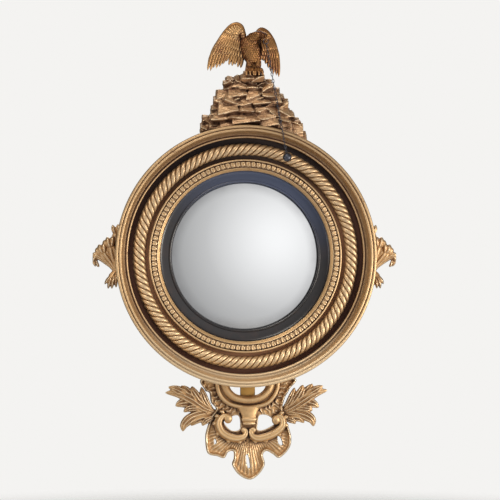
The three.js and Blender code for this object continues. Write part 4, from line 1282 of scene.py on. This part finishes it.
# Lobes of a side leaf: places out from the rim, from the wall and up, then half-width, depth and flutes.
SIDE_LOBES = [
    ([(-12, 22, 50), (-10, 25, 62), (-10, 23, 79)], 6.5, 4, 2),
    ([(-6, 22, 50), (0, 26, 62), (4, 24, 77)], 6.0, 4, 2),
    ([(-6, 22, 24), (-3, 25, 42), (-3, 24, 60)], 9.0, 4.5, 2),
    ([(-8, 22, -36), (2, 26, -10), (8, 32, 14), (12, 34, 30)], 15.0, 7, 3),
    ([(-6, 22, -36), (10, 27, -12), (24, 33, 6), (31, 32, 17)], 13.0, 7, 3),
    ([(-6, 22, -34), (14, 26, -18), (34, 32, -3), (46, 34, 2), (50, 30, -8), (45, 24, -27)], 8.5, 6, 3),
    ([(-10, 20, -46), (-6, 28, -22), (-9, 27, 6), (-9, 22, 30)], 10.0, 6, 2),
    # The fingers end in short knuckled tips.
    ([(8, 34, 22), (5, 37, 36), (6, 32, 48)], 6.5, 6, 1),
    ([(10, 34, 20), (15, 38, 34), (17, 32, 47)], 7.0, 6, 1),
    ([(12, 34, 20), (22, 35, 30), (24, 29, 39)], 6.0, 5, 1),
    ([(24, 33, 6), (25, 38, 20), (28, 32, 31)], 6.5, 6, 1),
    ([(26, 33, 6), (34, 38, 16), (37, 32, 29)], 7.0, 6, 1),
    ([(28, 32, 4), (40, 35, 12), (43, 29, 20)], 6.0, 5, 1),
    ([(40, 34, 0), (49, 35, -4), (50, 28, -14)], 5.5, 5, 1),
    ([(44, 30, -8), (41, 33, -20), (37, 27, -26)], 4.0, 4, 1),
    ([(-6, 22, -34), (4, 28, -48), (10, 28, -56)], 9.0, 5, 1),
    ([(2, 24, -44), (11, 33, -62), (15, 25, -80)], 4.4, 6, 1),
    ([(-2, 24, -44), (4, 35, -64), (6, 28, -80)], 4.2, 6, 1),
    ([(-8, 22, -36), (-4, 32, -60), (-5, 26, -77)], 4.4, 6, 1),
    ([(2, 23, -42), (15, 31, -56), (23, 24, -69)], 4.2, 5, 1),
]
# The stem behind them, along the frame's side, counted from its middle.
SIDE_ROOT = [(306, 14, 40), (314, 16, 0), (308, 14, -40)]


class MIRROR_OT_side_leaves(bpy.types.Operator):
    """Carves the pair of acanthus leaves planted on the frame's sides"""

    bl_idname = "mirror.side_leaves"
    bl_label = "Side leaves"

    def execute(self, context):
        for side in (-1, 1):
            bm = bmesh.new()
            for points, half_width, deep, flutes in SIDE_LOBES:
                run = [at(side * (RIM + out), depth, z) for out, depth, z in points]
                lobe(bm, run, half_width, deep, flutes, 1.3, root=0.6, peak=0.62)
            root = [at(side * out, depth, z) for out, depth, z in SIDE_ROOT]
            sweep(bm, root, oval_bar((9, 7), (9, 7)), 14, 12)
            carved = fused(bm, context.scene.mirror_sizes.carving_voxel, 1)
            clear_of_frame(carved)
            for vert in carved.verts:
                vert.co.x = max(-WIDEST * MM, min(WIDEST * MM, vert.co.x))
            name = "side_leaf_left" if side < 0 else "side_leaf_right"
            gilded(carved, name, "carved")
        return {"FINISHED"}


# ---------- The apron ----------

# The shell's outline and its openings, across and up from the rim's bottom.
SHELL_EDGE = [
    (-92, 24), (-97, -8), (-86, -15), (-82, -38), (-70, -54), (-82, -72), (-90, -96), (-96, -122),
    (-91, -162), (-68, -170), (-50, -175), (-40, -160), (-27, -159), (-26, -176), (-30, -192), (-14, -216),
    (13, -228), (36, -214), (50, -190), (45, -168), (54, -158), (70, -166), (86, -175), (111, -150),
    (115, -122), (106, -92), (99, -72), (94, -52), (100, -27), (110, -8), (114, 24),
]
SHELL_HOLES = [
    [(-38, 12), (-36, -8), (-24, -20), (9, -26), (40, -20), (53, -8), (56, 12)],
    [(-28, -72), (-14, -72), (-10, -90), (-12, -106), (-31, -108), (-46, -95), (-50, -84), (-38, -80)],
    [(36, -72), (48, -69), (64, -75), (74, -90), (66, -98), (46, -107), (32, -106), (33, -90)],
    [(3, -170), (9, -169), (14, -198), (7, -196)],
    [(-74, -126), (-69, -136), (-74, -142)],
    [(82, -120), (90, -128), (94, -144), (84, -140)],
]


def rounded_loop(points, steps=6):
    """A closed loop of flat points eased through its corners."""
    run = run_round([(x, y, 0) for x, y in points])
    places = [run(i + k / steps) for i in range(len(points)) for k in range(steps)]
    return [(place.x, place.y) for place in places]


def distance_to_loop(points, loop):
    """How far each point is from the nearest part of a loop."""
    nearest = np.full(len(points), 1e9)
    loop = np.array(loop)
    for start, end in zip(loop, np.roll(loop, -1, axis=0)):
        along = end - start
        share = np.clip(((points - start) @ along) / max(along @ along, 1e-9), 0, 1)
        nearest = np.minimum(nearest, np.linalg.norm(points - (start + share[:, None] * along), axis=1))
    return nearest


class MIRROR_OT_shell(bpy.types.Operator):
    """Carves the pierced shell of the apron: radiating ribs inside a raised, wavy rim"""

    bl_idname = "mirror.shell"
    bl_label = "Apron shell"

    def execute(self, context):
        sizes = context.scene.mirror_sizes
        edge = rounded_loop(SHELL_EDGE)
        holes = [rounded_loop(hole, 4) for hole in SHELL_HOLES]
        back, front = 10.3, 20.0
        bm = bmesh.new()
        loops = [[(x, h - RIM) for x, h in loop] for loop in (edge, *holes)]
        slab(bm, loops[0], loops[1:], back, front)
        carved = fused(bm, sizes.shell_voxel, 4)
        places = np.array([vert.co for vert in carved.verts]) / MM
        x, depth, height = places[:, 0], -places[:, 1], places[:, 2] + RIM
        flat = np.stack([x, height], axis=1)
        to_edge = distance_to_loop(flat, edge)
        to_hole = np.minimum.reduce([distance_to_loop(flat, hole) for hole in holes])
        # Ribs fan out below the shell's heart and stop short of its rim.
        heart_x, heart_height = 10, -92
        angle = np.arctan2(x - heart_x, heart_height - height)
        reach = np.hypot(x - heart_x, height - heart_height)
        fan = np.clip((reach - 28) / 14, 0, 1) * np.clip((-height - 96) / 18, 0, 1)
        wave = 0.25 * np.sin(height / 7) + 0.2 * np.sin(x / 9)
        ribs = np.cos(sizes.shell_ribs * angle + wave) * fan * np.clip((to_edge - 5) / 5, 0, 1)
        # The rim stands up, a hollow follows inside it, and each opening has a fine lip.
        rim = np.exp(-(((to_edge - 3.4) / 2.8) ** 2))
        dish = -3.2 * np.exp(-(((to_edge - 13) / 8.0) ** 2)) * np.clip((-height - 90) / 30, 0, 1)
        lip = 0.9 * np.exp(-(((to_hole - 1.5) / 1.6) ** 2))
        # The ground behind the scrolls is crumpled and frilled.
        upper = np.clip((height + 78) / 20, 0, 1)
        crumple = np.array([noise.noise(Vector((a / 11, b / 11, 3.1))) for a, b in flat])
        ruffle = np.cos(46 * np.arctan2(x - 8, 16 - height) + 5 * crumple) * np.clip(to_edge / 3, 0, 1)
        relief = (
            sizes.shell_rib_height / MM * ribs
            + sizes.shell_rim_height / MM * rim
            + dish
            + lip
            + upper * (2.6 * crumple + 1.3 * ruffle)
            + 7 * np.clip((reach - 40) / 90, 0, 1) * np.clip((-height - 100) / 60, 0, 1)
        )
        share = np.clip((depth - back) / (front - back), 0, 1)
        for vert, more in zip(carved.verts, relief * share):
            vert.co.y -= more * MM
        clear_of_frame(carved)
        gilded(carved, "apron_shell", "carved")
        return {"FINISHED"}


def fluted(width, height, groove):
    """A scroll's section, width and height given in mm along its length: round, grooved down its front."""

    def section(share, turn):
        cut = groove * math.exp(-((math.cos(turn) / 0.34) ** 2)) if math.sin(turn) > 0 else 0.0
        return width(share) * MM, (height(share) - cut) * MM

    return section


def swelling_width(share):
    """Half the width of a lower scroll, in mm along its length."""
    return 4.0 + 5.2 * math.sin(math.pi * share) ** 1.2


def swelling_height(share):
    """Half the height of a lower scroll, in mm along its length."""
    return 7 + 3.5 * math.sin(math.pi * share)


# Each lower scroll's line, across and up from the rim's bottom, then its knob and the eye of its volute.
LOWER_SCROLLS = {
    "apron_scroll_left": (
        [
            (-38, -74), (-50, -70), (-60, -78), (-64, -92), (-56, -110), (-38, -122), (-18, -126), (-2, -121),
            (3, -109), (-4, -101),
        ],
        (-41, -78),
        (-3, -106),
    ),
    "apron_scroll_right": (
        [
            (76, -78), (84, -72), (92, -80), (92, -96), (76, -112), (54, -122), (34, -126), (20, -121),
            (14, -109), (21, -101),
        ],
        (77, -82),
        (21, -106),
    ),
}
KNOB_RADIUS, VOLUTE_RADIUS = 10.5, 6.5


class MIRROR_OT_scrolls(bpy.types.Operator):
    """Carves the apron's upper double scroll with its collar, and two lower scrolls with round knobs"""

    bl_idname = "mirror.scrolls"
    bl_label = "Apron scrolls"

    def execute(self, context):
        voxel = context.scene.mirror_sizes.carving_voxel
        bm = bmesh.new()
        inner = [
            (-50, 26, 16), (-49, 26, 2), (-41, 27, -13), (-23, 28, -27), (8, 28, -33), (38, 28, -27),
            (56, 27, -13), (64, 26, 2), (65, 26, 16),
        ]
        outer = [
            (-67, 24, 16), (-66, 24, -3), (-57, 25, -25), (-34, 26, -43), (8, 26, -50), (50, 26, -43),
            (71, 25, -25), (81, 24, -3), (82, 24, 16),
        ]
        sweep(bm, below_rim(*inner), round_bar(8.6, 8.6), 70, 26, cap=0.02)
        sweep(bm, below_rim(*outer), round_bar(5.2, 5.2), 70, 20, cap=0.02)
        # A lower band fills the space between the two, and a thin bead lies inside the inner one.
        between = [on_rim_bottom((a[0] + b[0]) / 2, 19, (a[2] + b[2]) / 2) for a, b in zip(inner, outer)]
        sweep(bm, between, fluted(lambda u: 9.5, lambda u: 6.5, 1.5), 70, 20, cap=0.02)
        bead = [on_rim_bottom(8 + (x - 8) * 0.83, 21, h + 8 * (1 - ((x - 8) / 60) ** 2)) for x, _, h in inner]
        sweep(bm, bead, round_bar(2.4, 2.4), 70, 12, cap=0.02)
        # Below the scroll the panel narrows to a rolled collar.
        neck = below_rim((10, 24, -48), (10, 26, -58), (10.5, 28, -68), (10.5, 26, -84))

        def neck_reach(u, turn):
            return (30 - 13 * math.sin(0.5 * math.pi * u)) * MM, 8.5 * MM

        sweep(bm, neck, neck_reach, 24, 26, cap=0.05)
        for height, reach, thick in ((-80, 19, 6.4), (-90, 16, 4.0)):
            roll = [on_rim_bottom(10.5 + reach * way, 32 - 5 * abs(way), height) for way in (-1, 0, 1)]
            sweep(bm, roll, round_bar(thick, thick), 24, 16, cap=0.14)
        carved = fused(bm, voxel, 3)
        clear_of_frame(carved)
        gilded(carved, "apron_upper_scroll", "carved", "water_gilding")
        for name, (line, knob, volute) in LOWER_SCROLLS.items():
            bm = bmesh.new()
            run = []
            for i, (x, h) in enumerate(line):
                run.append(on_rim_bottom(x, 27 + 3 * math.sin(math.pi * i / (len(line) - 1)), h))
            sweep(bm, run, fluted(swelling_width, swelling_height, 2.6), 60, 30, cap=0.03)
            ball_at(bm, on_rim_bottom(knob[0], 29, knob[1]), KNOB_RADIUS, (1, 0.8, 1.12), 24)
            ball_at(bm, on_rim_bottom(volute[0], 30, volute[1]), VOLUTE_RADIUS, (1, 0.8, 1.1), 20)
            # A raised bead follows the scroll's outer edge.
            middle = Vector(sum(places) / len(line) for places in zip(*line))
            bead = []
            for x, h in line[2:-2]:
                away = (Vector((x, h)) - middle).normalized() * 9.5
                bead.append(on_rim_bottom(x + away.x, 25, h + away.y))
            sweep(bm, bead, round_bar(2.2, 2.2), 40, 10)
            # Small leaves fringe it, pointing away from its middle.
            for x, h in line[1:-3]:
                away = (Vector((x, h)) - middle).normalized()
                swirl = Vector((away.y, -away.x)) * (1 if name.endswith("left") else -1)
                tip = Vector((x, h)) + away * 15 - swirl * 5
                start = on_rim_bottom(x + away.x * 4, 25, h + away.y * 4)
                bend = on_rim_bottom(x + away.x * 10, 28, h + away.y * 10)
                lobe(bm, [start, bend, on_rim_bottom(tip.x, 25, tip.y)], 5.2, 3.6, 1, 1.0, steps=14, sides=18)
            carved = fused(bm, voxel, 2)
            gilded(carved, name, "carved", "water_gilding")
        return {"FINISHED"}


# Lobes of the apron's leaves: places across and up from the rim's bottom, half-width, curl of the tip.
LEFT_LOBES = [
    ([(-64, -66), (-98, -52), (-130, -30), (-162, -16), (-196, -14)], 14, 7),
    ([(-104, -52), (-136, -26), (-164, -8), (-188, 0)], 12, 11),
    ([(-100, -54), (-126, -28), (-146, -8), (-156, 3)], 12, 9),
    ([(-88, -58), (-110, -34), (-124, -14), (-130, 2)], 11, 7),
    ([(-76, -60), (-92, -40), (-102, -18), (-106, 0)], 9, 5),
    ([(-100, -52), (-132, -40), (-154, -40), (-170, -47)], 12, 8),
    ([(-94, -58), (-118, -52), (-138, -54), (-150, -62)], 9, 6),
    ([(-68, -68), (-100, -66), (-130, -76), (-148, -92), (-152, -110)], 13, 9),
    ([(-68, -70), (-96, -74), (-118, -82), (-132, -96)], 10, 6),
    ([(-66, -72), (-84, -78), (-98, -86), (-104, -96)], 8, 5),
]
RIGHT_LOBES = [
    ([(84, -66), (114, -54), (144, -34), (174, -16), (206, -9)], 14, 7),
    ([(118, -52), (146, -28), (172, -10), (194, 2)], 12, 11),
    ([(112, -56), (136, -32), (156, -10), (168, 7)], 12, 9),
    ([(104, -58), (124, -36), (138, -14), (144, 5)], 11, 7),
    ([(92, -60), (108, -42), (118, -22), (124, -2)], 9, 5),
    ([(116, -50), (146, -40), (168, -42), (184, -52)], 12, 8),
    ([(110, -58), (136, -52), (156, -54), (168, -60)], 9, 6),
    ([(86, -68), (118, -64), (148, -70), (166, -82), (170, -99)], 13, 9),
    ([(86, -70), (112, -74), (134, -78), (148, -90)], 10, 6),
    ([(84, -72), (102, -78), (118, -84), (126, -92)], 8, 5),
]


class MIRROR_OT_apron_leaves(bpy.types.Operator):
    """Carves the apron's pair of acanthus leaves from fluted, curling lobes"""

    bl_idname = "mirror.apron_leaves"
    bl_label = "Apron leaves"

    def execute(self, context):
        for name, lobes in (("apron_leaf_left", LEFT_LOBES), ("apron_leaf_right", RIGHT_LOBES)):
            bm = bmesh.new()
            for n, (points, half_width, curl) in enumerate(lobes):
                run = []
                for i, (x, h) in enumerate(points):
                    share = i / (len(points) - 1)
                    depth = 15 + 6 * math.sin(math.pi * share) + curl * share**2 - 1.3 * (n % 3)
                    run.append(on_rim_bottom(x, depth, h))
                lobe(bm, run, half_width, 5.0, 3, 2.6, steps=34, sides=38, root=0.36)
            carved = fused(bm, context.scene.mirror_sizes.carving_voxel, 1)
            clear_of_frame(carved)
            gilded(carved, name, "carved")
        return {"FINISHED"}


class MIRROR_OT_strap(bpy.types.Operator):
    """Planes the gilt strap that carries the apron"""

    bl_idname = "mirror.strap"
    bl_label = "Apron strap"

    def execute(self, context):
        bm = bmesh.new()
        block(bm, on_rim_bottom(-9, 0, -106), on_rim_bottom(27, 10, 58), 1.4)
        gilded(bm, "apron_strap", "planed", "strap_gilding", 30)
        return {"FINISHED"}


# ---------- The hangers ----------

# The D-ring's wire, across and up from its pin.
BOW = [
    (-11, 0), (0, 0), (11, 0), (12.4, -3), (11, -11), (6.5, -18.4), (0, -21), (-6.5, -18.4), (-11, -11),
    (-12.4, -3),
]
# The knuckle's outline: along its pin and out from it.
KNUCKLE = [(-7.5, 2.1), (-7.5, 3.0), (-7.2, 3.2), (7.2, 3.2), (7.5, 3.0), (7.5, 2.1), (-7.5, 2.1)]


class MIRROR_OT_hangers(bpy.types.Operator):
    """Fits the brass hanger plates, their screws and their D-rings"""

    bl_idname = "mirror.hangers"
    bl_label = "Hangers"

    def execute(self, context):
        brass = finish_named("rolled_brass")
        middle_z, pin_depth = 210.77, 6.3
        run = run_round([(across, 0, up) for across, up in BOW])
        for word, x in (("left", -147.58), ("right", 147.58)):
            bm = bmesh.new()
            block(bm, at(x - 12, 9.2, middle_z - 13), at(x + 12, 11.2, middle_z + 13), 0.5)

            def knuckle(u, v):
                turn = 2 * math.pi * v
                along, radius = KNUCKLE[round(u * (len(KNUCKLE) - 1))]
                depth = pin_depth + radius * math.sin(turn)
                return at(x + along, depth, middle_z + radius * math.cos(turn))

            skin(bm, len(KNUCKLE) - 1, 24, knuckle)
            for height in (-9, 9):
                for aside in (-7.5, 7.5):
                    screw(bm, at(x + aside, 9.0, middle_z + height), 2.2, aside + height)
            plate, ring = f"hanger_plate_{word}", f"hanger_ring_{word}"
            finished(plate + "_rolled", bm, brass, "frame", [plate], 35)
            bm = bmesh.new()

            def bow(turn):
                place = run((turn / (2 * math.pi)) % 1.0 * len(BOW))
                return at(x + place.x, pin_depth, middle_z + place.z)

            wire_loop(bm, bow, 1.7, 80, 12)
            finished(ring + "_drawn", bm, brass, ring, [ring], 60)
        return {"FINISHED"}


# ---------- The stage ----------


class MIRROR_OT_stage(bpy.types.Operator):
    """Sets a pale floor, soft studio light and the camera"""

    bl_idname = "mirror.stage"
    bl_label = "Floor, light and camera"

    def execute(self, context):
        scene = context.scene
        colours = scene.mirror_colours
        self.floor(scene, colours)
        self.world(scene)
        self.lamps(scene)
        self.camera(scene)
        scene.view_settings.view_transform = "Standard"
        return {"FINISHED"}

    def floor(self, scene, colours):
        """A matt disc that fades out before its edge."""
        bm = bmesh.new()
        radius, height = 2.6, -0.66  # metres
        bmesh.ops.create_circle(bm, cap_ends=True, segments=96, radius=radius)
        bmesh.ops.translate(bm, verts=bm.verts, vec=(0, 0, height))
        mesh = bpy.data.meshes.new("floor")
        bm.to_mesh(mesh)
        bm.free()
        floor = bpy.data.objects.new("floor", mesh)
        scene.collection.objects.link(floor)
        material, tree = new_material("studio_floor")
        place = add(tree, "TexCoord").outputs["Object"]
        away = distance_across(tree, place, "X", "Y")
        fade = add(
            tree,
            "MapRange",
            {"Value": away, "From Min": 0.35, "From Max": 1.3},
            interpolation_type="SMOOTHSTEP",
        )
        matt = add(tree, "BsdfPrincipled", {"Base Color": colours.floor, "Roughness": 0.9})
        clear = add(tree, "BsdfTransparent")
        mixed = add(tree, "MixShader", {0: fade, 1: matt, 2: clear})
        surface(tree, mixed)
        mesh.materials.append(material)

    def world(self, scene):
        """Pale for the camera, soft on plain faces; metal shows a bright wall in front that falls away."""
        world = bpy.data.worlds.new("studio")
        world.use_nodes = True
        tree = world.node_tree
        tree.nodes.clear()
        way = add(tree, "TexCoord").outputs["Generated"]
        lobe = Vector((0.32, -1.0, 0.12)).normalized()
        facing = add(tree, "VectorMath", {0: way, 1: lobe}, operation="DOT_PRODUCT")
        # The wall's brightness falls away with the angle from its middle.
        wall_light = add(
            tree,
            "ValToRGB",
            {"Fac": facing},
            stops=[
                (0.0, 0.08), (1.0, 0.97), (0.35, 0.14), (0.57, 0.30), (0.766, 0.38), (0.883, 0.56),
                (0.94, 0.72), (0.966, 0.81), (0.985, 0.89),
            ],
        )
        apart = add(tree, "SeparateXYZ", {"Vector": way})
        height = add(tree, "MapRange", {"Value": apart.outputs["Z"], "From Min": -1.0, "From Max": 1.0})
        # Metal that faces down and forwards sees the floor.
        low = add(tree, "ValToRGB", {"Fac": height}, stops=[(0.0, 0.9), (1.0, 0.0), (0.14, 0.9), (0.26, 0.1)])
        ahead = add(
            tree,
            "MapRange",
            {"Value": apart.outputs["Y"], "From Min": -0.3, "From Max": 0.1, "To Min": 2.3, "To Max": 0.1},
        )
        floor_light = add(
            tree, "Mix", {"Factor": 1.0, "A": low, "B": ahead}, data_type="RGBA", blend_type="MULTIPLY"
        )
        # Plain faces get a little more light from below than from above.
        soft_light = add(tree, "ValToRGB", {"Fac": height}, stops=[(0.0, 0.44), (1.0, 0.16), (0.5, 0.27)])
        bright = add(
            tree,
            "Mix",
            {"Factor": 1.0, "A": wall_light, "B": floor_light},
            data_type="RGBA",
            blend_type="LIGHTEN",
        )
        # A cool window low in front gives the black slip its blue sheen at the top.
        window = Vector((-0.25, -0.66, -0.72)).normalized()
        toward = add(tree, "VectorMath", {0: way, 1: window}, operation="DOT_PRODUCT")
        cool = add(tree, "MapRange", {"Value": toward, "From Min": 0.93, "From Max": 0.98})
        tinted = add(tree, "Mix", {"Factor": cool, "A": bright, "B": (1.0, 1.2, 1.6, 1.0)}, data_type="RGBA")
        # The camera sees the pale backdrop, metal and glass see the wall, and all else gets the soft light.
        seen = add(tree, "LightPath")
        soft = add(tree, "Background", {"Color": soft_light, "Strength": 1.0})
        wall = add(tree, "Background", {"Color": tinted, "Strength": 1.1})
        pale = add(tree, "Background", {"Color": linear("#F4F3F1"), "Strength": 1.0})
        through = add(
            tree,
            "Math",
            {0: seen.outputs["Is Glossy Ray"], 1: seen.outputs["Is Transmission Ray"]},
            operation="MAXIMUM",
        )
        metal = add(tree, "MixShader", {0: through, 1: soft, 2: wall})
        both = add(tree, "MixShader", {0: seen.outputs["Is Camera Ray"], 1: metal, 2: pale})
        add(tree, "OutputWorld", {"Surface": both})
        scene.world = world

    def lamps(self, scene):
        """Soft square lamps that all point at the mirror's middle."""
        # Each lamp's place and width in metres, its power in watts and its colour.
        for name, place, size, power, colour in (
            ("key", (-0.9, -1.9, 2.4), 1.2, 36, "#FFF8EE"),
            ("right", (1.7, -1.05, -0.25), 0.7, 23, "#FFF8EE"),
            ("left", (-2.2, -1.2, -0.2), 0.8, 9, "#FFF8EE"),
            ("back", (0.3, 2.4, 1.9), 1.6, 26, "#FFFFFF"),
        ):
            light = bpy.data.lights.new(name, "AREA")
            light.size = size
            light.energy = power
            light.color = linear(colour)[:3]
            lamp = bpy.data.objects.new(name, light)
            scene.collection.objects.link(lamp)
            lamp.location = place
            lamp.rotation_euler = (-Vector(place)).to_track_quat("-Z", "Y").to_euler()

    def camera(self, scene):
        """Eight metres away with a long lens, level, and five degrees to the left."""
        camera = bpy.data.cameras.new("camera")
        camera.sensor_width = 36
        distance, field = 8.0, 1.2165  # metres: to the target, and across the picture there
        camera.lens = 36 * distance / field
        eye = bpy.data.objects.new("camera", camera)
        scene.collection.objects.link(eye)
        target = at(8, 85, 15)
        turn = math.radians(5)
        eye.location = target + Vector((-math.sin(turn), -math.cos(turn), 0)) * distance
        eye.rotation_euler = (target - eye.location).to_track_quat("-Z", "Y").to_euler()
        scene.camera = eye


class MIRROR_PT_panel(bpy.types.Panel):
    """Lists the pieces"""

    bl_idname = "MIRROR_PT_panel"
    bl_label = "Convex mirror"
    bl_space_type = "VIEW_3D"
    bl_region_type = "UI"
    bl_category = "Mirror"

    def draw(self, context):
        for group in (context.scene.mirror_sizes, context.scene.mirror_colours):
            for name in group.__annotations__:
                self.layout.prop(group, name)
        for operator in OPERATORS:
            self.layout.operator(operator.bl_idname)


OPERATORS = (
    MIRROR_OT_stage,
    MIRROR_OT_carcase,
    MIRROR_OT_mouldings,
    MIRROR_OT_rope,
    MIRROR_OT_inner_moulding,
    MIRROR_OT_slip_and_plate,
    MIRROR_OT_rockwork,
    MIRROR_OT_wings,
    MIRROR_OT_eagle,
    MIRROR_OT_chain,
    MIRROR_OT_side_leaves,
    MIRROR_OT_shell,
    MIRROR_OT_scrolls,
    MIRROR_OT_apron_leaves,
    MIRROR_OT_strap,
    MIRROR_OT_hangers,
)
CLASSES = (MirrorSizes, MirrorColours, *OPERATORS, MIRROR_PT_panel)


def register():
    """Makes the panel, the pieces' operators and their sizes and colours known."""
    for made in CLASSES:
        bpy.utils.register_class(made)
    bpy.types.Scene.mirror_sizes = bpy.props.PointerProperty(type=MirrorSizes)
    bpy.types.Scene.mirror_colours = bpy.props.PointerProperty(type=MirrorColours)


def unregister():
    """Takes them away again."""
    del bpy.types.Scene.mirror_colours
    del bpy.types.Scene.mirror_sizes
    for made in reversed(CLASSES):
        bpy.utils.unregister_class(made)


def main():
    register()
    for operator in OPERATORS:
        group, name = operator.bl_idname.split(".")
        getattr(getattr(bpy.ops, group), name)()


if __name__ == "__main__":
    main()
